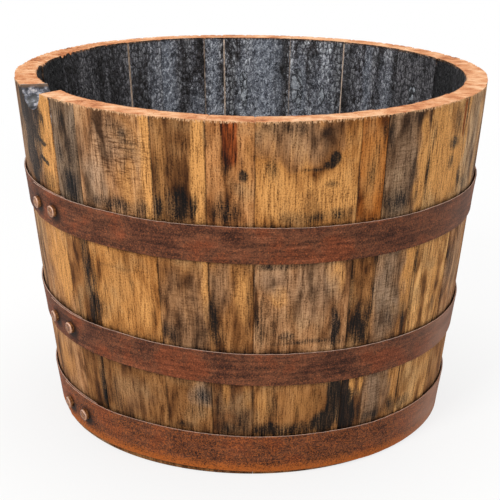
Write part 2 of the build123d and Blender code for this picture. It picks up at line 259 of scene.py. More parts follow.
SOOT_BANDS = {
    "stave_10": [(131, 380, 1.5, 120, 0.6), (147.6, 380, 2.2, 120, 0.8)],
    "stave_11": [(151.6, 380, 2.0, 120, 0.8), (161, 395, 1.2, 40, 0.6)],
    "stave_12": [(170, 380, 2.0, 120, 0.9), (186.4, 380, 1.4, 120, 0.7)],
    "stave_14": [(-158, 380, 2.4, 120, 0.6)],
    "stave_15": [(-143, 380, 3.0, 120, 0.7)],
}
BARE_JOINTS = {150: 1.0, 168: 0.5, 189: 1.0, 195: 0.5, 221: 1.0}  # by bearing, to the nearest degree


def back_radius(z):
    """Outer radius of the staves at a height, in mm."""
    share = z / TUB_HEIGHT
    return FOOT_RADIUS + (RIM_RADIUS - FOOT_RADIUS) * share + 4 * BELLY * share * (1 - share)


def linear(code):
    """Linear RGBA of an sRGB hex colour."""
    parts = [int(code[i : i + 2], 16) / 255 for i in (0, 2, 4)]
    return (*[c / 12.92 if c <= 0.04045 else ((c + 0.055) / 1.055) ** 2.4 for c in parts], 1.0)


def wobble(points, size):
    """Smooth noise from -1 to 1 at points in mm, with waves of a size in mm along each axis."""
    flat = (np.asarray(points, float) / np.asarray(size, float)).reshape(-1, 3)
    return np.array([noise.noise(Vector(p)) for p in flat]).reshape(np.shape(points)[:-1])


def cracks(points, size):
    """1 on the flakes of a crackled surface, falling to 0 along the cracks between them."""
    flat = (np.asarray(points, float) / np.asarray(size, float)).reshape(-1, 3)
    gaps = []
    for p in flat:
        near = noise.voronoi(Vector(p))[0]
        gaps.append(near[1] - near[0])
    return np.clip(np.array(gaps) / CRACK_EDGE, 0, 1).reshape(np.shape(points)[:-1])


def marks(bearing, z, spots, ragged):
    """How strongly the listed spots mark each point, fading from their middles with ragged outlines."""
    total = np.zeros(np.shape(z))
    for at, height, wide, tall, strength in spots:
        sideways = (bearing - at) / wide + RAGGED_SHARE * ragged[0]
        upright = (z - height) / tall + RAGGED_SHARE * ragged[1]
        total = np.maximum(total, strength * np.clip(1 - (sideways**2 + upright**2) / 2, 0, 1))
    return total


def hoop_rise(bearing, lean):
    """How far a leaning hoop stands above its mean height at a bearing in degrees, in mm."""
    return lean[0] * np.sin(np.radians(bearing)) - lean[1] * np.cos(np.radians(bearing))


def stations(low, high, rounded):
    """Places across a stave, closer at the ends that have an arris."""
    inner = np.linspace(low, high, max(2, round((high - low) / STATION_SPACING)))
    ends = [low + a for a in ARRIS_STATIONS if rounded[0]] + [high - a for a in ARRIS_STATIONS if rounded[1]]
    return np.array(sorted(ends + [s for s in inner if all(abs(s - e) > STATION_LEAST for e in ends)]))


def mesh_object(name, points, faces, materials, surfaces=None):
    """An object with a mesh of points in mm, smooth but for its sharp edges."""
    mesh = bpy.data.meshes.new(name)
    mesh.from_pydata((np.asarray(points) * MM).tolist(), [], faces)
    for material in materials:
        mesh.materials.append(material)
    if surfaces is not None:
        mesh.polygons.foreach_set("material_index", surfaces)
    mesh.shade_smooth()
    mesh.set_sharp_from_angle(angle=math.radians(SHARP_ANGLE))
    piece = bpy.data.objects.new(name, mesh)
    bpy.context.scene.collection.objects.link(piece)
    return piece


def tag(piece, name, kind, values):
    """Stores one value for each point of a piece, for its material."""
    field = {"FLOAT": "value", "FLOAT_VECTOR": "vector", "FLOAT_COLOR": "color"}[kind]
    layer = piece.data.attributes.new(name, kind, "POINT")
    layer.data.foreach_set(field, np.asarray(values, np.float32).ravel())


def blank(name):
    """A material with no nodes."""
    material = bpy.data.materials.new(name)
    material.use_nodes = True
    material.node_tree.nodes.clear()
    return material


def add(owner, kind, settings=None, links=None):
    """Adds a node, sets its options, sockets and colour stops, and links its inputs to other nodes."""
    node = owner.node_tree.nodes.new(kind)
    for key, value in (settings or {}).items():
        if key == "stops":
            ramp = node.color_ramp.elements
            while len(ramp) < len(value):
                ramp.new(0.5)
            for stop, (place, code) in zip(ramp, value):
                stop.position, stop.color = place, linear(code)
        elif isinstance(key, str) and hasattr(node, key):
            setattr(node, key, value)
        else:
            node.inputs[key].default_value = value
    for key, source in (links or {}).items():
        if isinstance(source, bpy.types.Node):
            source = next(output for output in source.outputs if output.enabled)
        owner.node_tree.links.new(source, node.inputs[key])
    return node


# Weathered oak, split and shaved: fine fibres and open pores under broad upright bands, grey where rain has
# bleached it, blue-black where iron from the hoops has met its tannin, and dark along the hoops' edges,
# where that stain also carries painted shade. It gives the eye patchy golden brown with no shine. Fibres and
# pores are drawn about ten times too coarse, since real ones wouldn't show.
weathered = blank("weathered_oak_back")
SPECK, FIBRE, PATCH, CLOUD, PORE, SPLINTER, SCRAPE = 2.0, 2.2, 16.0, 60.0, 2.6, 1.5, 2.4
FIBRE_RUN, PATCH_RUN, SPLINTER_RUN, SCRAPE_RUN = 0.07, 0.28, 0.35, 0.14  # width to length of each
LIP_LOW, LIP_HIGH = 442, 451  # the saw lifted pale splinters along the rim
at = add(weathered, "ShaderNodeAttribute", {"attribute_name": "grain_at"}).outputs["Vector"]
tone = add(weathered, "ShaderNodeAttribute", {"attribute_name": "tone"})
stain = add(weathered, "ShaderNodeAttribute", {"attribute_name": "stain"})
kinds = add(weathered, "ShaderNodeSeparateColor", {}, {"Color": stain})
speck = add(weathered, "ShaderNodeTexNoise", {"Scale": 1 / SPECK, "Detail": 2, "Roughness": 0.7},
            {"Vector": at})
along = add(weathered, "ShaderNodeVectorMath", {"operation": "MULTIPLY", 1: (1, 1, FIBRE_RUN)}, {0: at})
fibre = add(weathered, "ShaderNodeTexNoise",
            {"Scale": 1 / FIBRE, "Detail": 3, "Roughness": 0.65, "Distortion": 0.3}, {"Vector": along})
slow = add(weathered, "ShaderNodeVectorMath", {"operation": "MULTIPLY", 1: (1, 1, PATCH_RUN)}, {0: at})
patch = add(weathered, "ShaderNodeTexNoise",
            {"Scale": 1 / PATCH, "Detail": 4, "Roughness": 0.5, "Distortion": 0.6}, {"Vector": slow})
cloud = add(weathered, "ShaderNodeTexNoise", {"Scale": 1 / CLOUD, "Detail": 4, "Roughness": 0.55},
            {"Vector": at})
pore = add(weathered, "ShaderNodeTexNoise", {"Scale": 1 / PORE, "Detail": 3, "Roughness": 0.7},
           {"Vector": slow})
fine = add(weathered, "ShaderNodeMix", {0: 0.58}, {2: speck, 3: fibre})
broad = add(weathered, "ShaderNodeMix", {0: 0.42}, {2: patch, 3: cloud})
lines = add(weathered, "ShaderNodeValToRGB", {"stops": [
    (0.375, "7c7268"), (0.445, "bfb8b1"), (0.495, "e6e3df"), (0.59, "ffffff")]}, {"Fac": fine})
depth = add(weathered, "ShaderNodeValToRGB", {"stops": [
    (0.36, "68584a"), (0.44, "ae9f90"), (0.5, "dcd3c9"), (0.59, "ffffff")]}, {"Fac": broad})
dry = add(weathered, "ShaderNodeMapRange", {"From Min": 0.5, "From Max": 0.66, "To Max": 0.5},
          {"Value": cloud})
faded = add(weathered, "ShaderNodeMix", {"data_type": "RGBA", 7: linear("ad8d66")}, {0: dry, 6: tone})
soak = add(weathered, "ShaderNodeMapRange",
           {"From Min": 0.42, "From Max": 0.58, "To Min": 1.3, "To Max": 0.7}, {"Value": broad})
gold_edge = add(weathered, "ShaderNodeMath", {"operation": "MULTIPLY"}, {0: soak, 1: stain.outputs["Alpha"]})
gold_mask = add(weathered, "ShaderNodeMapRange", {"From Min": 0.15, "From Max": 0.75, "To Max": 0.9},
                {"Value": gold_edge})
golden = add(weathered, "ShaderNodeMix", {"data_type": "RGBA", 7: linear("f6b76e")},
             {0: gold_mask, 6: faded})
lit_depth = add(weathered, "ShaderNodeMix", {"data_type": "RGBA", 7: linear("f6efe8")},
                {0: gold_mask, 6: depth})
grey_edge = add(weathered, "ShaderNodeMath", {"operation": "MULTIPLY"}, {0: soak, 1: kinds.outputs[0]})
grey_mask = add(weathered, "ShaderNodeMapRange", {"From Min": 0.15, "From Max": 0.85, "To Max": 0.85},
                {"Value": grey_edge})
bleached = add(weathered, "ShaderNodeMix", {"data_type": "RGBA", 7: linear("b8a18c")},
               {0: grey_mask, 6: golden})
clouded = add(weathered, "ShaderNodeMix", {"data_type": "RGBA", "blend_type": "MULTIPLY", 0: 1.0},
              {6: bleached, 7: lit_depth})
base = add(weathered, "ShaderNodeMix", {"data_type": "RGBA", "blend_type": "MULTIPLY", 0: 1.0},
           {6: clouded, 7: lines})
crossways = add(weathered, "ShaderNodeVectorMath", {"operation": "MULTIPLY", 1: (SCRAPE_RUN, 1, 1)}, {0: at})
scrape = add(weathered, "ShaderNodeTexNoise",
             {"Scale": 1 / SCRAPE, "Detail": 2, "Roughness": 0.6, "Distortion": 0.5}, {"Vector": crossways})
scraped = add(weathered, "ShaderNodeAttribute", {"attribute_name": "scrapes"})
scrape_line = add(weathered, "ShaderNodeMapRange", {"From Min": 0.47, "From Max": 0.64}, {"Value": scrape})
scrape_mask = add(weathered, "ShaderNodeMath", {"operation": "MULTIPLY", "use_clamp": True},
                  {0: scrape_line, 1: scraped.outputs["Fac"]})
shaved = add(weathered, "ShaderNodeMix",
             {"data_type": "RGBA", "blend_type": "MULTIPLY", 7: linear("b0a396")}, {0: scrape_mask, 6: base})
red_edge = add(weathered, "ShaderNodeMath", {"operation": "MULTIPLY"}, {0: soak, 1: kinds.outputs[2]})
red_mask = add(weathered, "ShaderNodeMapRange", {"From Min": 0.2, "From Max": 0.6}, {"Value": red_edge})
tint = add(weathered, "ShaderNodeValToRGB", {"stops": [(0.42, "8a6a5c"), (0.58, "d09c80")]}, {"Fac": fibre})
run = add(weathered, "ShaderNodeMix", {"data_type": "RGBA", "blend_type": "MULTIPLY"},
          {0: red_mask, 6: shaved, 7: tint})
bleed = add(weathered, "ShaderNodeMapRange",
            {"From Min": 0.4, "From Max": 0.6, "To Min": 1.35, "To Max": 0.65}, {"Value": fine})
# The iron mark carries the stains, the dirt in the joints and the painted shade along the hoops.
iron_and_shade_soak = add(weathered, "ShaderNodeMath", {"operation": "MULTIPLY"}, {0: soak, 1: kinds.outputs[1]})
iron_and_shade_edge = add(weathered, "ShaderNodeMath", {"operation": "MULTIPLY"}, {0: iron_and_shade_soak, 1: bleed})
iron_and_shade_mask = add(weathered, "ShaderNodeMapRange", {"From Min": 0.06, "From Max": 1.08}, {"Value": iron_and_shade_edge})
# The ink's pale blue-grey streaks along the fibres are painted highlights on the blackened wood, over its
# blue-black stain.
ink_with_highlights = add(weathered, "ShaderNodeValToRGB", {"stops": [(0.42, "262a35"), (0.5, "464e62"), (0.58, "828a9e")]},
          {"Fac": fine})
inked = add(weathered, "ShaderNodeMix", {"data_type": "RGBA", "blend_type": "MULTIPLY"},
            {0: iron_and_shade_mask, 6: run, 7: ink_with_highlights})
pore_mask = add(weathered, "ShaderNodeMapRange", {"From Min": 0.6, "From Max": 0.69, "To Max": 0.5},
                {"Value": pore})
pitted = add(weathered, "ShaderNodeMix",
             {"data_type": "RGBA", "blend_type": "MULTIPLY", 7: linear("6c645c")}, {0: pore_mask, 6: inked})
upright = add(weathered, "ShaderNodeSeparateXYZ", {}, {0: at})
torn = add(weathered, "ShaderNodeVectorMath", {"operation": "MULTIPLY", 1: (1, 0, SPLINTER_RUN)}, {0: at})
splinter = add(weathered, "ShaderNodeTexNoise", {"Scale": 1 / SPLINTER, "Detail": 3}, {"Vector": torn})
lip = add(weathered, "ShaderNodeMapRange",
          {"From Min": LIP_LOW, "From Max": LIP_HIGH, "To Min": -0.32, "To Max": 0.14},
          {"Value": upright.outputs["Z"]})
lip_edge = add(weathered, "ShaderNodeMath", {"operation": "ADD"}, {0: splinter, 1: lip})
lip_mask = add(weathered, "ShaderNodeMapRange", {"From Min": 0.5, "From Max": 0.58, "To Max": 0.85},
               {"Value": lip_edge})
fringed = add(weathered, "ShaderNodeMix", {"data_type": "RGBA", 7: linear("dfae82")},
              {0: lip_mask, 6: pitted})
relief = add(weathered, "ShaderNodeMath", {"operation": "MULTIPLY_ADD", 1: -0.3}, {0: pore_mask, 2: fine})
bump = add(weathered, "ShaderNodeBump", {"Strength": 0.9, "Distance": 1.6 * MM}, {"Height": relief})
rough = add(weathered, "ShaderNodeMapRange", {"To Min": 0.85, "To Max": 0.65}, {"Value": iron_and_shade_mask})
skin = add(weathered, "ShaderNodeBsdfPrincipled", {"Specular IOR Level": 0.14},
           {"Base Color": fringed, "Roughness": rough, "Normal": bump})
add(weathered, "ShaderNodeOutputMaterial", {}, {"Surface": skin})

# Oak fresh from a chain saw: matt pinkish orange, with cream and rusty streaks that all run the way the saw
# went, and a brown edge next to the char. Saw marks and dust are drawn coarser than they are, to show.
sawn = blank("fresh_sawn_oak_rim")
KERF, SAW_DUST, SAW_PATCH, KERF_RUN = 2.2, 1.2, 26.0, 0.06
SINGE_FROM, SINGE_TO = 23.5, 29.0  # depth from the stave's back
where = add(sawn, "ShaderNodeTexCoord").outputs["Object"]
kerfs = add(sawn, "ShaderNodeVectorMath", {"operation": "MULTIPLY", 1: (KERF_RUN / MM, 1 / MM, 0)},
            {0: where})
kerf = add(sawn, "ShaderNodeTexNoise", {"Scale": 1 / KERF, "Detail": 4, "Roughness": 0.65},
           {"Vector": kerfs})
even = add(sawn, "ShaderNodeVectorMath", {"operation": "MULTIPLY", 1: (1 / MM, 1 / MM, 1 / MM)}, {0: where})
dust = add(sawn, "ShaderNodeTexNoise", {"Scale": 1 / SAW_DUST, "Detail": 3, "Roughness": 0.7},
           {"Vector": even})
patch = add(sawn, "ShaderNodeTexNoise", {"Scale": 1 / SAW_PATCH, "Detail": 5, "Roughness": 0.65},
            {"Vector": even})
cut_a = add(sawn, "ShaderNodeMix", {0: 0.35}, {2: kerf, 3: dust})
cut_value = add(sawn, "ShaderNodeMix", {0: 0.44}, {2: cut_a, 3: patch})
cut_colour = add(sawn, "ShaderNodeValToRGB", {"stops": [
    (0.38, "663823"), (0.45, "b5724a"), (0.51, "d3966a"), (0.59, "eac49e")]}, {"Fac": cut_value})
at = add(sawn, "ShaderNodeAttribute", {"attribute_name": "grain_at"}).outputs["Vector"]
inner = add(sawn, "ShaderNodeSeparateXYZ", {}, {0: at})
singe = add(sawn, "ShaderNodeMapRange",
            {"From Min": SINGE_FROM, "From Max": SINGE_TO, "To Min": -0.25, "To Max": 0.25},
            {"Value": inner.outputs["Y"]})
singe_edge = add(sawn, "ShaderNodeMath", {"operation": "ADD"}, {0: patch, 1: singe})
singe_mask = add(sawn, "ShaderNodeMapRange", {"From Min": 0.52, "From Max": 0.7, "To Max": 0.8},
                 {"Value": singe_edge})
singed = add(sawn, "ShaderNodeMix", {"data_type": "RGBA", 7: linear("5b3a2a")},
             {0: singe_mask, 6: cut_colour})
cut_bump = add(sawn, "ShaderNodeBump", {"Strength": 0.7, "Distance": 1.0 * MM}, {"Height": cut_a})
cut_skin = add(sawn, "ShaderNodeBsdfPrincipled", {"Roughness": 0.9, "Specular IOR Level": 0.1},
               {"Base Color": singed, "Normal": cut_bump})
add(sawn, "ShaderNodeOutputMaterial", {}, {"Surface": cut_skin})

# Oak charred with an open flame: brown-black carbon, crackled into small flakes, in bands with a blue-grey
# bloom, with pale scabs of ash ringed by painted shadow, and glints painted in as white specks. Its grain is
# drawn coarser than it is, to show.
charred = blank("charred_oak_inside")
GRAIN, FLAKE, BAND, CELL, SCAB = 1.7, 7.0, 16.0, 5.5, 15.0
FLAKE_RUN, BAND_RUN, CELL_JITTER, SCAB_JITTER = 0.6, 0.1, 3.0, 6.0
at = add(charred, "ShaderNodeAttribute", {"attribute_name": "grain_at"}).outputs["Vector"]
tone = add(charred, "ShaderNodeAttribute", {"attribute_name": "tone"})
stain = add(charred, "ShaderNodeAttribute", {"attribute_name": "stain"})
kinds = add(charred, "ShaderNodeSeparateColor", {}, {"Color": stain})
grain = add(charred, "ShaderNodeTexNoise", {"Scale": 1 / GRAIN, "Detail": 2, "Roughness": 0.75},
            {"Vector": at})
squat = add(charred, "ShaderNodeVectorMath", {"operation": "MULTIPLY", 1: (1, 1, FLAKE_RUN)}, {0: at})
flake = add(charred, "ShaderNodeTexNoise", {"Scale": 1 / FLAKE, "Detail": 5, "Roughness": 0.65},
            {"Vector": squat})
long = add(charred, "ShaderNodeVectorMath", {"operation": "MULTIPLY", 1: (1, 1, BAND_RUN)}, {0: at})
band = add(charred, "ShaderNodeTexNoise", {"Scale": 1 / BAND, "Detail": 4, "Roughness": 0.6},
           {"Vector": long})
jitter = add(charred, "ShaderNodeVectorMath", {"operation": "MULTIPLY_ADD", 1: [CELL_JITTER] * 3},
             {0: grain.outputs["Color"], 2: squat})
cell = add(charred, "ShaderNodeTexVoronoi", {"feature": "DISTANCE_TO_EDGE", "Scale": 1 / CELL},
           {"Vector": jitter})
crack = add(charred, "ShaderNodeMapRange", {"From Max": 0.17}, {"Value": cell})
shard = add(charred, "ShaderNodeTexVoronoi", {"Scale": 1 / CELL}, {"Vector": jitter}).outputs["Color"]
small = add(charred, "ShaderNodeMix", {0: 0.56}, {2: grain, 3: flake})
plates = add(charred, "ShaderNodeMix", {0: 0.14}, {2: small, 3: shard})
char_value = add(charred, "ShaderNodeMix", {0: 0.38}, {2: plates, 3: band})
soot = add(charred, "ShaderNodeValToRGB", {"stops": [
    (0.41, "1b1614"), (0.46, "564f4e"), (0.505, "9f9fa5"), (0.55, "ffffff")]}, {"Fac": char_value})
carbon = add(charred, "ShaderNodeMix", {"data_type": "RGBA", "blend_type": "MULTIPLY", 0: 1.0},
             {6: tone, 7: soot})
split = add(charred, "ShaderNodeMix", {"data_type": "RGBA", 6: linear("151314")}, {0: crack, 7: carbon})
black = add(charred, "ShaderNodeMath", {"operation": "MULTIPLY", 1: 0.75}, {0: kinds.outputs[1]})
sooty = add(charred, "ShaderNodeMix", {"data_type": "RGBA", 7: linear("1d1a19")}, {0: black, 6: split})
haze = add(charred, "ShaderNodeValToRGB", {"stops": [(0.39, "3a3d45"), (0.5, "8d93a0"), (0.6, "dbe0ea")]},
           {"Fac": small})
haze_mask = add(charred, "ShaderNodeMath", {"operation": "MULTIPLY", 1: 0.85}, {0: stain.outputs["Alpha"]})
hazed = add(charred, "ShaderNodeMix", {"data_type": "RGBA"}, {0: haze_mask, 6: sooty, 7: haze})
torn = add(charred, "ShaderNodeVectorMath", {"operation": "MULTIPLY_ADD", 1: [SCAB_JITTER] * 3},
           {0: grain.outputs["Color"], 2: at})
scab = add(charred, "ShaderNodeTexVoronoi", {"Scale": 1 / SCAB}, {"Vector": torn}).outputs["Color"]
scab_gap = add(charred, "ShaderNodeTexVoronoi", {"feature": "DISTANCE_TO_EDGE", "Scale": 1 / SCAB},
               {"Vector": torn})
scab_pick = add(charred, "ShaderNodeMapRange", {"To Min": 0.45, "To Max": 1.15}, {"Value": scab})
ash_edge = add(charred, "ShaderNodeMath", {"operation": "MULTIPLY"}, {0: scab_pick, 1: kinds.outputs[0]})
# Painted shadow: a dark ring round each scab of ash, where the raised flake would shade the char.
shadow_mask = add(charred, "ShaderNodeMapRange", {"From Min": 0.5, "From Max": 0.58, "To Max": 0.8},
                  {"Value": ash_edge})
scabbed = add(charred, "ShaderNodeMix", {"data_type": "RGBA", 7: linear("171617")},
              {0: shadow_mask, 6: hazed})
scab_inside = add(charred, "ShaderNodeMapRange", {"From Min": 0.05, "From Max": 0.14}, {"Value": scab_gap})
ash_pick = add(charred, "ShaderNodeMapRange", {"From Min": 0.62, "From Max": 0.68, "To Max": 0.95},
               {"Value": ash_edge})
ash_mask = add(charred, "ShaderNodeMath", {"operation": "MULTIPLY"}, {0: ash_pick, 1: scab_inside})
ash = add(charred, "ShaderNodeValToRGB", {"stops": [(0.4, "868b93"), (0.5, "b3b8c0"), (0.6, "e4e7eb")]},
          {"Fac": small})
flaked = add(charred, "ShaderNodeMix", {"data_type": "RGBA"}, {0: ash_mask, 6: scabbed, 7: ash})
# Painted glints: white specks mixed into the colour, most where the ash haze is.
glint = add(charred, "ShaderNodeMapRange", {"From Min": 0.61, "From Max": 0.67, "To Max": 0.8},
            {"Value": grain})
glint_spread = add(charred, "ShaderNodeMapRange", {"From Max": 0.7, "To Min": 0.1},
             {"Value": stain.outputs["Alpha"]})
glint_mask = add(charred, "ShaderNodeMath", {"operation": "MULTIPLY"}, {0: glint, 1: glint_spread})
glinted = add(charred, "ShaderNodeMix", {"data_type": "RGBA", 7: linear("eef1f6")},
              {0: glint_mask, 6: flaked})
bare_edge = add(charred, "ShaderNodeMath", {"operation": "MULTIPLY"}, {0: flake, 1: kinds.outputs[2]})
bare_mask = add(charred, "ShaderNodeMapRange", {"From Min": 0.15, "From Max": 0.4, "To Max": 0.95},
                {"Value": bare_edge})
bared = add(charred, "ShaderNodeMix", {"data_type": "RGBA", 7: linear("f2d6bf")}, {0: bare_mask, 6: glinted})
char_rough = add(charred, "ShaderNodeMapRange",
                 {"From Min": 0.4, "From Max": 0.6, "To Min": 0.7, "To Max": 0.3}, {"Value": flake})
dome = add(charred, "ShaderNodeMapRange", {"From Max": 0.4, "To Max": 0.7}, {"Value": cell})
char_height = add(charred, "ShaderNodeMath", {"operation": "ADD"}, {0: dome, 1: small})
char_bump = add(charred, "ShaderNodeBump", {"Strength": 1.0, "Distance": 3.4 * MM}, {"Height": char_height})
char_skin = add(charred, "ShaderNodeBsdfPrincipled", {"Specular IOR Level": 0.3},
                {"Base Color": bared, "Roughness": char_rough, "Normal": char_bump})
add(charred, "ShaderNodeOutputMaterial", {}, {"Surface": char_skin})

# Raw planed oak, where a stave meets its neighbour, the head or the ground: dull brown with fine grain. Its
# fibres are those of the weathered oak, drawn longer.
raw = blank("raw_planed_oak")
RAW_RUN = 0.04
at = add(raw, "ShaderNodeAttribute", {"attribute_name": "grain_at"}).outputs["Vector"]
along = add(raw, "ShaderNodeVectorMath", {"operation": "MULTIPLY", 1: (1, 1, RAW_RUN)}, {0: at})
fibre = add(raw, "ShaderNodeTexNoise", {"Scale": 1 / FIBRE, "Detail": 4, "Roughness": 0.6},
            {"Vector": along})
wood = add(raw, "ShaderNodeValToRGB", {"stops": [(0.35, "4d3926"), (0.5, "876545"), (0.65, "a98560")]},
           {"Fac": fibre})
raw_bump = add(raw, "ShaderNodeBump", {"Strength": 0.4, "Distance": 0.4 * MM}, {"Height": fibre})
raw_skin = add(raw, "ShaderNodeBsdfPrincipled", {"Roughness": 0.8, "Specular IOR Level": 0.3},
               {"Base Color": wood, "Normal": raw_bump})
add(raw, "ShaderNodeOutputMaterial", {}, {"Surface": raw_skin})

# Oak round the bung hole, soaked with spirit and tar for years: nearly black, hard and shiny, with pale
# blue-grey patches painted in as reflections, and a brown edge at the cut.
soaked = blank("soaked_oak_bung_hole")
TAR = 9.0
FRESH_LOW, FRESH_HIGH = 445.5, 448.5
where = add(soaked, "ShaderNodeTexCoord").outputs["Object"]
even = add(soaked, "ShaderNodeVectorMath", {"operation": "MULTIPLY", 1: (1 / MM, 1 / MM, 1 / MM)},
           {0: where})
tar = add(soaked, "ShaderNodeTexNoise", {"Scale": 1 / TAR, "Detail": 5, "Roughness": 0.65}, {"Vector": even})
# Painted reflection: the ramp's pale grey stops stand for the shine on the dark wood.
tar_and_reflection = add(soaked, "ShaderNodeValToRGB", {"stops": [
    (0.42, "0f0e11"), (0.5, "2b2b31"), (0.57, "6a6b76"), (0.66, "bfb8b6")]}, {"Fac": tar})
at = add(soaked, "ShaderNodeAttribute", {"attribute_name": "grain_at"}).outputs["Vector"]
level = add(soaked, "ShaderNodeSeparateXYZ", {}, {0: at})
fresh = add(soaked, "ShaderNodeMapRange", {"From Min": FRESH_LOW, "From Max": FRESH_HIGH, "To Max": 0.85},
            {"Value": level.outputs["Z"]})
tarred = add(soaked, "ShaderNodeMix", {"data_type": "RGBA", 7: linear("6d5138")}, {0: fresh, 6: tar_and_reflection})
tar_bump = add(soaked, "ShaderNodeBump", {"Strength": 0.6, "Distance": 1.0 * MM}, {"Height": tar})
tar_skin = add(soaked, "ShaderNodeBsdfPrincipled", {"Roughness": 0.28},
               {"Base Color": tarred, "Normal": tar_bump})
add(soaked, "ShaderNodeOutputMaterial", {}, {"Surface": tar_skin})

# A stave's section as depth from its back, height, and the surface that follows: down the back, under the
# foot, over the chime and the croze groove, up the inside and across the saw cut.
BACK_ROWS = (TUB_HEIGHT, 449.2, 448, 446, 443, 439, 434, *np.arange(430, 4, -3.0), CHIME_ARRIS)
CHAR_ROWS = (*np.arange(50, 250, 8.0), *np.arange(250, 448, 4.0))
CUT_ROWS = (STAVE_THICKNESS, 25, 20, 15, 10, 6, 3, 1.2)
section = [(0, z, BACK) for z in BACK_ROWS]
section += [(CHIME_ARRIS, 0, RAW), (CHIME_END / 2, 0, RAW), (CHIME_END, 0, RAW)]
section += [(STAVE_THICKNESS, CHIME_BEVEL, RAW), (STAVE_THICKNESS, CROZE_LOW, RAW)]
section += [(STAVE_THICKNESS - CROZE_DEPTH, z, RAW) for z in (CROZE_LOW, CROZE_HIGH)]
section += [(STAVE_THICKNESS, CROZE_HIGH, CHAR)]
section += [(STAVE_THICKNESS, z, CHAR) for z in CHAR_ROWS]
section += [(depth_in, TUB_HEIGHT, CUT) for depth_in in CUT_ROWS]
row_depth = np.array([row[0] for row in section], float)[None, :]
row_height = np.array([row[1] for row in section], float)[None, :]
row_surface = np.array([row[2] for row in section])
on_back = row_depth == 0
on_char = (row_depth == STAVE_THICKNESS) & (row_height > CROZE_HIGH) & (row_height < TUB_HEIGHT)
inward = row_depth / STAVE_THICKNESS

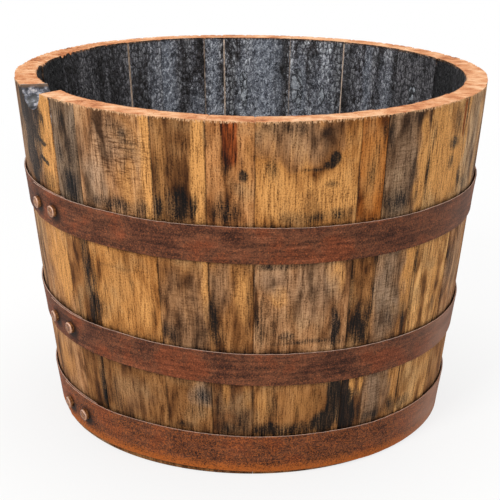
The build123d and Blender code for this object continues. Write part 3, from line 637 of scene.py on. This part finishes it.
for number, (name, (tones, char_tone, proud)) in enumerate(STAVES.items()):
    corners = np.array([v.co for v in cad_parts[name].data.vertices]) / MM
    middle = math.atan2(corners[:, 0].mean(), -corners[:, 1].mean())
    turns = (np.arctan2(corners[:, 0], -corners[:, 1]) - middle + math.pi) % (2 * math.pi) - math.pi
    start = middle + turns.min() + JOINT_GAP / 2 / RIM_RADIUS
    width = (turns.max() - turns.min()) * RIM_RADIUS - JOINT_GAP

    # Stations across the stave. Those of the bung hole lie on two arcs, at its mouth and at its throat.
    if name == BUNG_STAVE:
        hole = width / 2 + BUNG_OFF_CENTRE
        arcs = []
        for hole_radius in (BUNG_MOUTH, BUNG_THROAT):
            edge = math.asin(BUNG_ABOVE_CUT / hole_radius)
            sweep = np.linspace(math.pi - edge, edge, BUNG_STATIONS)
            arcs.append((hole + hole_radius * np.cos(sweep), hole_radius * np.sin(sweep) - BUNG_ABOVE_CUT))
        (mouth, mouth_dip), (throat, throat_dip) = arcs
        left = stations(0, mouth[0], (True, False))[:-1]
        right = stations(mouth[-1], width, (False, True))[1:]
        across_out = np.concatenate([left, mouth, right])
        across_in = np.concatenate([np.interp(left, [0, mouth[0]], [0, throat[0]]), throat,
                                    np.interp(right, [mouth[-1], width], [throat[-1], width])])
        dip_out, dip_in = (np.concatenate([left * 0, dip, right * 0]) for dip in (mouth_dip, throat_dip))
        swell = BUNG_SWELL * np.exp(-(((across_out - hole) / BUNG_SWELL_WIDTH) ** 2))
    else:
        across_out = across_in = stations(0, width, (True, True))
        dip_out = dip_in = swell = across_out * 0
    across = across_out[:, None] * (1 - inward) + across_in[:, None] * inward
    shaped = np.clip((row_height - SHAPED_FROM) / (TUB_HEIGHT - SHAPED_FROM), 0, 1)
    z = row_height - shaped * (dip_out[:, None] * (1 - inward) + dip_in[:, None] * inward)
    bearing = start + across / RIM_RADIUS
    side = np.minimum(across, width - across)
    lateral = across - width / 2 + GRAIN_SHIFT * number
    spot = np.stack([lateral, np.broadcast_to(row_depth, z.shape), z], -1)
    holed = np.maximum(dip_out, dip_in)

    # Relief: sprung ends, eased arrises, hand-shaved hollows, splintered rim and crackled char.
    radius = back_radius(z) - row_depth
    radius += proud * np.clip((z - FREE_FROM) / (TUB_HEIGHT - FREE_FROM), 0, 1) ** 2
    thicker = THICKNESS_SPREAD * (number * THICKNESS_TURN % 1 - 0.5)
    radius -= inward * (swell[:, None] * shaped + thicker * (z > CROZE_HIGH))
    eased = np.clip(1 - side / ARRIS_WIDTH, 0, 1) ** 2
    wear = 1 + 0.6 * wobble(spot, WEAR_WAVE)
    radius -= np.where(on_back, ARRIS_DROP * eased * wear, 0)
    radius += np.where(on_back, UNDULATION * (wobble(spot, SHAVE_WAVE) - 0.4), 0)
    along_rim = np.stack([lateral, lateral * 0, lateral * 0], -1)[:, :1]
    chip = np.clip(wobble(along_rim, CHIP_WIDTH) - 0.1, 0, 1) * CHIP_DEPTH
    chip = chip * np.where(holed[:, None] > 0, NOTCH_CHIP, 1)
    near_rim = np.exp(-(TUB_HEIGHT - row_height) / CHIP_DOWN) * np.exp(-row_depth / CHIP_IN)
    radius -= chip * near_rim
    z = z - CHIP_DROP * chip * near_rim
    z = z - np.where(row_height == TUB_HEIGHT, CUT_ARRIS_DROP * eased, 0)
    tear = TEAR[0] + TEAR[1] * np.exp(-(((np.degrees(bearing) - TEAR_BEARING) / TEAR_SPREAD) ** 2))
    z = z - np.where(row_height == TUB_HEIGHT, tear * np.clip(wobble(spot, TEAR_WAVE), 0, 1), 0)
    z = z + shaped * SAW_WANDER * np.clip(-np.sin(bearing), 0, 1)
    flakes = CHAR_DEPTH * (cracks(spot, CHAR_CELL) - 0.8) + CHAR_SWELL * wobble(spot, SWELL_WAVE)
    radius -= np.where(on_char, np.clip(side / CHAR_MARGIN, 0, 1) * flakes, 0)

    count, rows = z.shape
    points = np.stack([radius * np.sin(bearing), -radius * np.cos(bearing), z], -1).reshape(-1, 3)
    faces, surfaces = [], []
    for i in range(count - 1):
        for j in range(rows):
            k = (j + 1) % rows
            faces.append((i * rows + j, i * rows + k, (i + 1) * rows + k, (i + 1) * rows + j))
            notched = row_surface[j] == CUT and max(holed[i], holed[i + 1]) > 0
            surfaces.append(NOTCH if notched else row_surface[j])
    faces += [tuple(range(rows))[::-1], tuple((count - 1) * rows + j for j in range(rows))]
    edges = start, start + width / RIM_RADIUS
    joints = [BARE_JOINTS.get(round(math.degrees(edge) % 360), 0) for edge in edges]
    surfaces += [RAW if bare_joint else CHAR for bare_joint in joints]  # the others are black with grime
    stave = mesh_object(name + "_oak", points, faces, [weathered, sawn, charred, raw, soaked], surfaces)

    # Colour of every point: its zone's tone outside, char inside, and the marks.
    zone = np.stack([z - TOP_TONE_FROM, z - MIDDLE_TONE_FROM], -1) / TONE_CHANGE
    zone = np.clip(zone, 0, 1)
    top, mid, low = (np.array(linear(OAK_TONES[t])) for t in tones.split())
    colour = low + (mid - low) * zone[..., 1:] + (top - mid) * zone[..., :1]
    colour = np.where(on_char[..., None], np.array(linear(CHAR_TONES[char_tone])), colour)
    degrees = np.degrees(bearing)
    ragged = wobble(spot, RAGGED_WAVES[0]), wobble(spot + RAGGED_SHIFT, RAGGED_WAVES[1])
    IRON_STAINS.setdefault(name, [(math.degrees(start + share * width / RIM_RADIUS), *stain_row)
                                  for share, *stain_row in BACK_STAINS[number % 3 :: 3]])
    grey, iron_and_shade, red, gold = (marks(degrees, z, book.get(name, []), ragged)
                             for book in (GREY_WEATHER, IRON_STAINS, RED_RUNS, GOLD_STRIPS))
    grime = np.clip(1.3 - side / GRIME_WIDTH, 0, 1) * (0.5 + 0.6 * wobble(spot, GRIME_WAVE))
    iron_and_shade = np.maximum(iron_and_shade, grime)
    # Beside each hoop the wood darkens above and below it: iron stain, and painted shade along the hoop's
    # edges.
    for height, wide, lean in HOOPS.values():
        hoop_at = height + hoop_rise(degrees, lean)
        reach = STAIN_AND_SHADE_ABOVE[1] + STAIN_AND_SHADE_ABOVE[2] * ragged[0]
        above = np.exp(-np.clip(z - hoop_at - wide / 2, 0, None) / reach) * (z > hoop_at)
        below = np.exp(-np.clip(hoop_at - wide / 2 - z, 0, None) / STAIN_AND_SHADE_BELOW[1]) * (z < hoop_at)
        iron_and_shade = np.maximum(iron_and_shade, STAIN_AND_SHADE_ABOVE[0] * above + STAIN_AND_SHADE_BELOW[0] * below)
    bare = np.where(across < width / 2, *joints) * np.clip(2.4 - side / BARE_WIDTH, 0, 1)
    ash, soot_marks, ash_haze = (marks(degrees, z, book.get(name, []), ragged)
                                 for book in (ASH_FLAKES, SOOT_BANDS, ASH_HAZE))
    outside = np.stack([grey, iron_and_shade, red, gold], -1)
    inside = np.stack([ash, soot_marks, bare, ash_haze], -1)
    tag(stave, "grain_at", "FLOAT_VECTOR", spot)
    tag(stave, "scrapes", "FLOAT", marks(degrees, z, SCRAPES.get(name, []), ragged))
    tag(stave, "tone", "FLOAT_COLOR", colour)
    tag(stave, "stain", "FLOAT_COLOR", np.where(on_char[..., None], inside, outside))
    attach(stave, "root")
    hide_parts(name)

# Head. Six oak boards, dowelled edge to edge, cut round and bevelled to a tongue that sits in the staves'
# croze. Its upper face was charred with the barrel, and dust has settled on it.
HEAD_MIDDLE, HEAD_HALF, TONGUE_HALF = 40.0, 12.0, 3.2
HEAD_RADIUS, HEAD_ROOT, HEAD_FLAT = 243.5, 236.1, 214.1
BOARD_STEP = 5.0
BOARD_EASE, BOARD_EASE_WIDTH, BOARD_CHAR_DEPTH = 0.8, 2.5, 0.8
BOARD_SHIFT = 311.0
SEAM_WIDTH, DUST_PATCH = 4.0, (50, 30, 110)
BOARD_TONES = "soot coal ash soot coal soot".split()
for name in [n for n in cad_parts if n.startswith("head_board")]:
    low, high = (np.array(corner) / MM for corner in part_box(name))
    ys = np.linspace(low[1] + JOINT_GAP / 2, high[1] - JOINT_GAP / 2, round((high[1] - low[1]) / BOARD_STEP))
    us = np.linspace(-1, 1, round(2 * HEAD_RADIUS / BOARD_STEP))
    y, u = np.meshgrid(np.clip(ys, -HEAD_RADIUS + 2, HEAD_RADIUS - 2), us, indexing="ij")
    x = u * np.sqrt(HEAD_RADIUS**2 - y**2)
    rim = np.hypot(x, y)
    half = np.interp(rim, [HEAD_FLAT, HEAD_ROOT], [HEAD_HALF, TONGUE_HALF])
    joint = np.minimum(y - y.min(), y.max() - y)
    ease = BOARD_EASE * np.clip(1 - joint / BOARD_EASE_WIDTH, 0, 1) * (half > TONGUE_HALF)
    spot = np.stack([y + BOARD_SHIFT * int(name[-1]), y * 0, x], -1)
    flakes = BOARD_CHAR_DEPTH * (cracks(spot, CHAR_CELL) - 0.8)
    upper = HEAD_MIDDLE + half - ease + np.where(rim < HEAD_ROOT, flakes, 0)
    lower = HEAD_MIDDLE - half + ease
    rows, count = x.shape
    total = rows * count
    points = np.concatenate([np.stack([x, y, face], -1).reshape(-1, 3) for face in (upper, lower)])
    faces, surfaces = [], []
    for i in range(rows - 1):
        for j in range(count - 1):
            a = i * count + j
            corner = (a, a + 1, a + count + 1, a + count)
            faces += [corner, tuple(total + corner[n] for n in (0, 3, 2, 1))]
            surfaces += [0, 1]
    loop = [*range(count)] + [i * count + count - 1 for i in range(1, rows)]
    loop += [(rows - 1) * count + j for j in range(count - 2, -1, -1)]
    loop += [i * count for i in range(rows - 2, 0, -1)]
    for a, b in zip(loop, loop[1:] + loop[:1]):
        faces.append((a, a + total, b + total, b))
        surfaces.append(1)
    board = mesh_object(name + "_oak", points, faces, [charred, raw], surfaces)
    both = np.concatenate([spot.reshape(-1, 3)] * 2)
    tag(board, "grain_at", "FLOAT_VECTOR", both)
    board_tone = CHAR_TONES[BOARD_TONES[int(name[-1]) - 1]]
    tag(board, "tone", "FLOAT_COLOR", np.tile(linear(board_tone), (len(both), 1)))
    seam = np.clip(1.2 - joint / SEAM_WIDTH, 0, 1)
    settled = np.clip(0.8 * wobble(spot, DUST_PATCH), 0, 1)
    dust = np.stack([rim * 0, seam, rim * 0, settled], -1).reshape(-1, 4)
    tag(board, "stain", "FLOAT_COLOR", np.concatenate([dust] * 2))
    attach(board, "root")
    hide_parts(name)

# Dowels. Beech pegs, turned smooth and driven half into each board to line up the head's joints. They are
# hidden there, and keep the shape that the frame has.
PEG_GRAIN, PEG_RUN = 1.5, 0.05
# Turned beech: pale, even pinkish tan with a fine grain along the peg, drawn coarser so that it shows.
beech = blank("turned_beech_dowel")
where = add(beech, "ShaderNodeTexCoord").outputs["Object"]
pegs = add(beech, "ShaderNodeVectorMath", {"operation": "MULTIPLY", 1: (1 / MM, PEG_RUN / MM, 1 / MM)},
           {0: where})
peg = add(beech, "ShaderNodeTexNoise", {"Scale": 1 / PEG_GRAIN, "Detail": 3}, {"Vector": pegs})
peg_colour = add(beech, "ShaderNodeValToRGB", {"stops": [(0.35, "a67f55"), (0.65, "cfa878")]}, {"Fac": peg})
peg_skin = add(beech, "ShaderNodeBsdfPrincipled", {"Roughness": 0.6}, {"Base Color": peg_colour})
add(beech, "ShaderNodeOutputMaterial", {}, {"Surface": peg_skin})
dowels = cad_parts["head_dowels"]
dowels.data.materials.clear()
dowels.data.materials.append(beech)

# Hoops. Strips of mild steel, rolled to a ring, lapped and riveted on the left, and driven down the taper a
# little askew. They are dented by the driver and rusted all over.
HOOP_THICKNESS = 2.0
HOOP_SEAT = 0.35
HOOP_SPRING, SPRING_CHANGE, SPRING_WAVE = 1.2, 0.7, 120.0  # how far the upper edge stands off the wood
LAP_END, LAP_LENGTH, LAP_STEP = -64.2, 84.0, 2.2
JOGGLE_GAP, JOGGLE_TURN = 8.0, 16.0
CORNER_CLIP, CORNER_STATIONS = 6.0, 7
HOOP_STEP = 0.8  # degrees
HOOP_NICK, HOOP_SWAY = (0.4, 7.0), (1.1, 90.0)  # of its edges: depth and length
HOOP_DENT, HOOP_DIMPLE = (0.45, 38.0), (0.12, 9.0)
RIVET_RADIUS, RIVET_TO_END, RIVET_SPACING = 7.4, 16.5, 42.0
RIVET_DIRT_AND_SHADOW = 2.5  # dirt and painted shadow darken the hoop to the right of each rivet and below it
PAINTED_SHEEN = {"bilge_hoop": 0.12, "quarter_hoop": 0.42, "head_hoop": 0.62}  # painted sheen: a pale reflection towards the right end of each hoop
PAINTED_SHEEN_BEARING, PAINTED_SHEEN_SPREAD = 64.0, 13.0
OCHRE = {"bilge_hoop": 0.1, "quarter_hoop": 0.1, "head_hoop": 1.0}  # rusted orange by the wet ground

# Mild steel left to rust: a dry red-brown skin with fine grit, orange bloom and darker scale, rubbed pale at
# the edges, with a painted highlight along the upper edge, a painted sheen towards the right and painted
# shadow with dirt beside the rivets. Rust hides the metal, so it has no metallic shine. Its grit is drawn
# coarser than it is.
rusted = blank("rusted_mild_steel")
SCALE_PATCH, BLOOM, GRIT, SCUFF, SCUFF_RUN = 55.0, 6.0, 1.8, 4.0, 0.09
where = add(rusted, "ShaderNodeTexCoord").outputs["Object"]
even = add(rusted, "ShaderNodeVectorMath", {"operation": "MULTIPLY", 1: (1 / MM, 1 / MM, 1 / MM)},
           {0: where})
scale_patch = add(rusted, "ShaderNodeTexNoise", {"Scale": 1 / SCALE_PATCH, "Detail": 5, "Roughness": 0.6},
                  {"Vector": even})
bloom = add(rusted, "ShaderNodeTexNoise", {"Scale": 1 / BLOOM, "Detail": 8, "Roughness": 0.8},
            {"Vector": even})
grit = add(rusted, "ShaderNodeTexNoise", {"Scale": 1 / GRIT, "Detail": 3, "Roughness": 0.75},
           {"Vector": even})
level = add(rusted, "ShaderNodeVectorMath",
            {"operation": "MULTIPLY", 1: (SCUFF_RUN / MM, SCUFF_RUN / MM, 1 / MM)}, {0: where})
scuff = add(rusted, "ShaderNodeTexNoise", {"Scale": 1 / SCUFF, "Detail": 4, "Roughness": 0.65},
            {"Vector": level})
rust_a = add(rusted, "ShaderNodeMix", {0: 0.7}, {2: bloom, 3: grit})
rust_b = add(rusted, "ShaderNodeMix", {0: 0.55}, {2: scale_patch, 3: scuff})
rust_value = add(rusted, "ShaderNodeMix", {0: 0.46}, {2: rust_a, 3: rust_b})
rust_colour = add(rusted, "ShaderNodeValToRGB", {"stops": [
    (0.40, "2c1911"), (0.45, "47291b"), (0.5, "673e2a"), (0.55, "7d4a31"), (0.61, "9f674d")]},
                  {"Fac": rust_value})
warmth = add(rusted, "ShaderNodeValToRGB", {"stops": [(0.4, "e8e1e5"), (0.5, "ffffff"), (0.6, "ffe2d0")]},
             {"Fac": scale_patch})
rust_hue = add(rusted, "ShaderNodeMix", {"data_type": "RGBA", "blend_type": "MULTIPLY", 0: 1.0},
               {6: rust_colour, 7: warmth})
# Pale rub: wear on the edges, strongest along the upper edge, where it is also a painted highlight.
rub = add(rusted, "ShaderNodeAttribute", {"attribute_name": "rub"})
rub_and_highlight_edge = add(rusted, "ShaderNodeMath", {"operation": "ADD"}, {0: bloom, 1: rub.outputs["Fac"]})
rub_and_highlight_mask = add(rusted, "ShaderNodeMapRange", {"From Min": 0.9, "From Max": 1.4, "To Max": 0.9},
               {"Value": rub_and_highlight_edge})
pale = add(rusted, "ShaderNodeMix", {"data_type": "RGBA", 7: linear("d8b8a6")}, {0: rub_and_highlight_mask, 6: rust_hue})
ochre = add(rusted, "ShaderNodeAttribute", {"attribute_name": "ochre"})
ochre_edge = add(rusted, "ShaderNodeMath", {"operation": "MULTIPLY_ADD", 1: 2.4},
                 {0: rust_a, 2: ochre.outputs["Fac"]})
ochre_mask = add(rusted, "ShaderNodeMapRange", {"From Min": 1.38, "From Max": 1.86, "To Max": 0.9},
                 {"Value": ochre_edge})
toned = add(rusted, "ShaderNodeMix", {"data_type": "RGBA", 7: linear("be6728")}, {0: ochre_mask, 6: pale})
# Painted sheen: a pale pink reflection mixed into the colour towards the right end of the hoops.
sheen = add(rusted, "ShaderNodeAttribute", {"attribute_name": "sheen"})
painted_sheen_mix = add(rusted, "ShaderNodeMix", {"data_type": "RGBA", 7: linear("b48973")},
           {0: sheen.outputs["Fac"], 6: toned})
# Dirt and painted shadow: the hoop is darkened to the lower right of each rivet.
dirt = add(rusted, "ShaderNodeAttribute", {"attribute_name": "dirt"})
rust = add(rusted, "ShaderNodeMix", {"data_type": "RGBA", 7: linear("1d120d")},
           {0: dirt.outputs["Fac"], 6: painted_sheen_mix})
rust_bump = add(rusted, "ShaderNodeBump", {"Strength": 0.6, "Distance": 0.6 * MM}, {"Height": rust_a})
rust_skin = add(rusted, "ShaderNodeBsdfPrincipled", {"Roughness": 0.7, "Specular IOR Level": 0.14},
                {"Base Color": rust, "Normal": rust_bump})
add(rusted, "ShaderNodeOutputMaterial", {}, {"Surface": rust_skin})

for number, (name, (height, wide, lean)) in enumerate(HOOPS.items()):
    # The strip starts with its outer end, runs along the lap, steps down onto the wood and goes once round.
    seat = back_radius(height)
    inner_end = LAP_END + math.degrees(LAP_LENGTH / seat)
    clip_turn = math.degrees(CORNER_CLIP / seat)
    bearings = np.concatenate([np.linspace(LAP_END, LAP_END + clip_turn, CORNER_STATIONS)[:-1],
                               np.arange(LAP_END + clip_turn, inner_end + 360, HOOP_STEP)])
    down = np.clip((bearings - inner_end - math.degrees(JOGGLE_GAP / seat)) / JOGGLE_TURN, 0, 1)
    step = LAP_STEP * (1 - down * down * (3 - 2 * down))
    clip = np.clip(CORNER_CLIP - np.radians(bearings - LAP_END) * seat, 0, CORNER_CLIP)

    # Section from the lower inner edge out, up the face and down the inside, as shares of width and
    # thickness.
    ring = [(0.0, 0.25), (0.0, 0.75), (0.012, 1.0)]
    ring += [(share, 1.0) for share in (0.03, 0.1, 0.2, 0.3, 0.4, 0.5, 0.6, 0.7, 0.8, 0.9, 0.97)]
    ring += [(0.988, 1.0), (1.0, 0.75), (1.0, 0.25)]
    ring += [(share, 0.0) for share in (0.988, 0.75, 0.5, 0.25, 0.012)]
    share = np.array([r[0] for r in ring])[None, :]
    through = np.array([r[1] for r in ring])[None, :]
    turn = bearings[:, None]
    around = np.radians(turn)
    ripple_at = np.stack([np.cos(around) * seat, np.sin(around) * seat, turn * 0 + 500 * number], -1)
    uneven = HOOP_NICK[0] * wobble(ripple_at, HOOP_NICK[1]) + HOOP_SWAY[0] * wobble(ripple_at, HOOP_SWAY[1])
    low = height - wide / 2 + clip[:, None] + uneven * 0.6
    high = height + wide / 2 - clip[:, None] + uneven
    z = low + (high - low) * share + hoop_rise(turn, lean)
    dent_at = np.concatenate([np.broadcast_to(ripple_at[..., :2], (*z.shape, 2)), z[..., None]], -1)
    dent = HOOP_DENT[0] * wobble(dent_at, HOOP_DENT[1]) + HOOP_DIMPLE[0] * wobble(dent_at, HOOP_DIMPLE[1])
    spring = HOOP_SPRING * (1 + SPRING_CHANGE * wobble(ripple_at, SPRING_WAVE))
    radius = back_radius(z) + HOOP_SEAT + spring * share**2 + step[:, None] + HOOP_THICKNESS * through
    radius += dent * np.clip(dent > 0, 0.3, 1)
    count, rows = z.shape
    points = np.stack([radius * np.sin(around), -radius * np.cos(around), z], -1).reshape(-1, 3)
    faces = []
    for i in range(count - 1):
        for j in range(rows):
            k = (j + 1) % rows
            faces.append((i * rows + j, (i + 1) * rows + j, (i + 1) * rows + k, i * rows + k))
    faces += [tuple(range(rows)), tuple((count - 1) * rows + j for j in range(rows))[::-1]]
    hoop = mesh_object(name + "_steel", points, faces, [rusted])
    # The upper outer edge is painted pale, partly as wear and partly as a painted highlight; the lower edge
    # a little.
    rubbed_and_lit = np.where((share > 0.995) & (through > 0.1), 0.85, np.where(share < 0.01, 0.3, 0.0))
    orange = (0.22 + 0.45 * np.clip(1 - share / 0.3, 0, 1)) * OCHRE[name]
    # Dirt and painted shadow to the lower right of each rivet.
    dirt_and_shadow_at_rivets = z * 0
    for run in (RIVET_TO_END, RIVET_TO_END + RIVET_SPACING):
        aside = np.radians(turn - LAP_END) * seat - run - RIVET_DIRT_AND_SHADOW
        under = z - height - hoop_rise(LAP_END + math.degrees(run / seat), lean) + RIVET_DIRT_AND_SHADOW
        dirt_and_shadow_at_rivets = np.maximum(dirt_and_shadow_at_rivets, 0.95 * np.clip(2.2 - np.hypot(aside, under) / RIVET_RADIUS, 0, 1))
    tag(hoop, "dirt", "FLOAT", dirt_and_shadow_at_rivets)
    # Painted sheen towards the right end, patchy.
    gleam = PAINTED_SHEEN[name] * np.exp(-(((turn - PAINTED_SHEEN_BEARING) / PAINTED_SHEEN_SPREAD) ** 2))
    tag(hoop, "sheen", "FLOAT", gleam * (1 + 0.5 * wobble(dent_at, (60, 60, 12))))
    tag(hoop, "rub", "FLOAT", np.broadcast_to(rubbed_and_lit, z.shape))
    tag(hoop, "ochre", "FLOAT", np.broadcast_to(orange, z.shape))
    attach(hoop, "root")
    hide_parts(name)

# Rivets. Two soft steel rivets close each lap. They were set hot through both ends of the strip; hammering
# flattened their heads, and handling has rubbed their rounded edges pinkish; that pale rub is also a painted
# highlight, strongest on each head's upper right side.
RIVET_HEIGHT, RIVET_ROUND, RIVET_CROWN, SHANK_RADIUS = 5.2, 1.6, 0.3, 4.0
RIVET_UNDERCUT = 0.4
RIVET_SEGMENTS = 28
RIVET_BLOW, RIVET_BLOW_SIZE = 0.5, 5.0
# Hammered steel: rusty orange on its face, with a pale rounded edge, polished by hands and brightened as a
# painted highlight.
rubbed_and_highlit_steel = blank("hammered_rivet_steel")
PEEN = 3.0
where = add(rubbed_and_highlit_steel, "ShaderNodeTexCoord").outputs["Object"]
even = add(rubbed_and_highlit_steel, "ShaderNodeVectorMath", {"operation": "MULTIPLY", 1: (1 / MM, 1 / MM, 1 / MM)},
           {0: where})
peen = add(rubbed_and_highlit_steel, "ShaderNodeTexNoise", {"Scale": 1 / PEEN, "Detail": 5, "Roughness": 0.65},
           {"Vector": even})
face_colour = add(rubbed_and_highlit_steel, "ShaderNodeValToRGB", {"stops": [
    (0.38, "4f2a14"), (0.5, "875129"), (0.62, "bb8453")]}, {"Fac": peen})
rub = add(rubbed_and_highlit_steel, "ShaderNodeAttribute", {"attribute_name": "rub"})
peen_colour = add(rubbed_and_highlit_steel, "ShaderNodeMix", {"data_type": "RGBA", 7: linear("e2b69c")},
                  {0: rub.outputs["Fac"], 6: face_colour})
peen_bump = add(rubbed_and_highlit_steel, "ShaderNodeBump", {"Strength": 0.5, "Distance": 0.5 * MM}, {"Height": peen})
peen_skin = add(rubbed_and_highlit_steel, "ShaderNodeBsdfPrincipled", {"Roughness": 0.45, "Metallic": 0.2},
                {"Base Color": peen_colour, "Normal": peen_bump})
add(rubbed_and_highlit_steel, "ShaderNodeOutputMaterial", {}, {"Surface": peen_skin})

grip = LAP_STEP + HOOP_THICKNESS
turned = [(SHANK_RADIUS, -grip, 0.0), (SHANK_RADIUS, -RIVET_UNDERCUT, 0.0)]  # radius, height, how rubbed and lit
turned += [(RIVET_RADIUS - RIVET_UNDERCUT, -RIVET_UNDERCUT, 0.0), (RIVET_RADIUS, 0.2, 0.0)]
for bend in np.radians([0, 22, 45, 68, 90]):
    rounded = RIVET_RADIUS - RIVET_ROUND * (1 - math.cos(bend))
    turned.append((rounded, RIVET_HEIGHT - RIVET_ROUND * (1 - math.sin(bend)), math.sin(2 * bend)))
turned.append((RIVET_RADIUS * 0.5, RIVET_HEIGHT + 0.25, 0.0))
turned.append((RIVET_RADIUS * 0.25, RIVET_HEIGHT + RIVET_CROWN, 0.0))
for name, (height, wide, lean) in HOOPS.items():
    seat = back_radius(height)
    points, faces, rubs_and_highlights = [], [], []
    for run in (RIVET_TO_END, RIVET_TO_END + RIVET_SPACING):
        bearing = LAP_END + math.degrees(run / seat)
        z = height + hoop_rise(bearing, lean)
        out = back_radius(z) + HOOP_SEAT + HOOP_SPRING / 4 + grip
        slope = (back_radius(z + 1) - back_radius(z - 1)) / 2
        angle = math.radians(bearing)
        outward = Vector((math.sin(angle), -math.cos(angle), -slope)).normalized()
        middle = Vector((out * math.sin(angle), -out * math.cos(angle), z))
        tangent = Vector((math.cos(angle), math.sin(angle), 0))
        upward = outward.cross(tangent)
        first = len(points)
        for r, h, rubbed_and_lit in turned:
            for s in range(RIVET_SEGMENTS):
                turn = 2 * math.pi * s / RIVET_SEGMENTS
                flat = middle + outward * h + (tangent * math.cos(turn) + upward * math.sin(turn)) * r
                blow = RIVET_BLOW * noise.noise(flat / RIVET_BLOW_SIZE) if h > 0 else 0.0
                points.append(flat + outward * blow + (flat - middle).normalized() * blow * 0.5)
                # The rub is painted brighter towards the upper right of each head, as a highlight.
                rubs_and_highlights.append(rubbed_and_lit * min(1, 0.4 + 0.6 * max(0, math.sin(turn + 0.5))))
        top = len(points)
        points += [middle + outward * (RIVET_HEIGHT + RIVET_CROWN), middle - outward * grip]
        rubs_and_highlights += [0.0, 0.0]
        for ring_number in range(len(turned) - 1):
            for s in range(RIVET_SEGMENTS):
                a = first + ring_number * RIVET_SEGMENTS + s
                b = first + ring_number * RIVET_SEGMENTS + (s + 1) % RIVET_SEGMENTS
                faces.append((a, b, b + RIVET_SEGMENTS, a + RIVET_SEGMENTS))
        last = first + (len(turned) - 1) * RIVET_SEGMENTS
        for s in range(RIVET_SEGMENTS):
            t = (s + 1) % RIVET_SEGMENTS
            faces += [(last + s, last + t, top), (first + t, first + s, top + 1)]
    rivets = mesh_object(name + "_rivet_heads", [tuple(p) for p in points], faces, [rubbed_and_highlit_steel])
    tag(rivets, "rub", "FLOAT", rubs_and_highlights)
    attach(rivets, "root")
    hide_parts(name + "_rivets")

# Floor. A plain white studio floor of seamless paper, laid flat under the tub. It keeps the tub's shadow,
# and fades to pure white away from it. Sizes are in metres.
FLOOR_RADIUS = 40.0
SHADE_RADIUS, WHITE_RADIUS, SHADE_GLOW = 0.4, 1.8, 0.78
# Matt white paper: bright and even, with no sheen.
paper = blank("white_studio_floor")
light_path = add(paper, "ShaderNodeLightPath")
seen_a = add(paper, "ShaderNodeMath", {"operation": "MAXIMUM"},
             {0: light_path.outputs["Is Camera Ray"], 1: light_path.outputs["Is Glossy Ray"]})
seen_b = add(paper, "ShaderNodeMath", {"operation": "MAXIMUM"},
             {0: seen_a, 1: light_path.outputs["Is Transmission Ray"]})
where = add(paper, "ShaderNodeTexCoord").outputs["Object"]
away = add(paper, "ShaderNodeVectorMath", {"operation": "LENGTH"}, {0: where})
fade = add(paper, "ShaderNodeMapRange",
           {"From Min": SHADE_RADIUS, "From Max": WHITE_RADIUS, "To Min": SHADE_GLOW, "To Max": 1.0},
           {"Value": away})
seen = add(paper, "ShaderNodeMath", {"operation": "MULTIPLY"}, {0: seen_b, 1: fade})
matt = add(paper, "ShaderNodeBsdfDiffuse", {"Color": linear("f4f4f2")})
glow = add(paper, "ShaderNodeEmission", {"Color": linear("ffffff"), "Strength": 1.0})
lit = add(paper, "ShaderNodeMixShader", {}, {0: seen, 1: matt, 2: glow})
add(paper, "ShaderNodeOutputMaterial", {}, {"Surface": lit})
floor_mesh = bpy.data.meshes.new("studio_floor")
floor_turns = np.radians(np.arange(0, 360, 7.5))
floor_corners = [(FLOOR_RADIUS * math.cos(turn), FLOOR_RADIUS * math.sin(turn), 0) for turn in floor_turns]
floor_mesh.from_pydata(floor_corners, [], [tuple(range(len(floor_corners)))])
floor_mesh.materials.append(paper)
floor = bpy.data.objects.new("studio_floor", floor_mesh)
bpy.context.scene.collection.objects.link(floor)

# Studio light. White surroundings that seem plain white to the camera and in reflections, and two large soft
# boxes: one in front at the left, and one overhead that lights the charred inside.
SURROUND = 0.55
world = bpy.data.worlds.new("white_studio")
bpy.context.scene.world = world
world.use_nodes = True
world.node_tree.nodes.clear()
path = add(world, "ShaderNodeLightPath")
direct_a = add(world, "ShaderNodeMath", {"operation": "MAXIMUM"},
               {0: path.outputs["Is Camera Ray"], 1: path.outputs["Is Glossy Ray"]})
direct = add(world, "ShaderNodeMath", {"operation": "MAXIMUM"},
             {0: direct_a, 1: path.outputs["Is Transmission Ray"]})
strength = add(world, "ShaderNodeMapRange", {"To Min": SURROUND, "To Max": 1.0}, {"Value": direct})
sky = add(world, "ShaderNodeBackground", {"Color": linear("ffffff")}, {"Strength": strength})
add(world, "ShaderNodeOutputWorld", {}, {"Surface": sky})
SOFT_BOXES = {  # place, target and size in metres, watts
    "front_soft_box": ((-1.5, -2.4, 2.6), (0, 0, 0.25), 1.0, 60),
    "top_soft_box": ((0.2, 0.3, 2.6), (0, 0, 0.3), 1.6, 30),
}
for name, (place, target, size, watts) in SOFT_BOXES.items():
    lamp = bpy.data.lights.new(name, "AREA")
    lamp.size, lamp.energy = size, watts
    box = bpy.data.objects.new(name, lamp)
    box.location = place
    box.rotation_euler = (Vector(target) - Vector(place)).to_track_quat("-Z", "Y").to_euler()
    bpy.context.scene.collection.objects.link(box)

# Camera, where the photographer stood: in front of the tub and looking down on its rim.
CAMERA_PLACE = (-0.0008, -1.5647, 0.7325)
CAMERA_PITCH, CAMERA_ROLL = 0.32695, 0.00466
CAMERA_LENS, CAMERA_SENSOR = 86.55, 36.0
camera = bpy.data.objects.new("photographer", bpy.data.cameras.new("photographer"))
camera.data.lens, camera.data.sensor_width = CAMERA_LENS, CAMERA_SENSOR
camera.matrix_world = (Matrix.Translation(CAMERA_PLACE) @ Matrix.Rotation(math.pi / 2 - CAMERA_PITCH, 4, "X")
                       @ Matrix.Rotation(CAMERA_ROLL, 4, "Z"))
bpy.context.scene.collection.objects.link(camera)
bpy.context.scene.camera = camera
bpy.context.scene.view_settings.view_transform = "Standard"
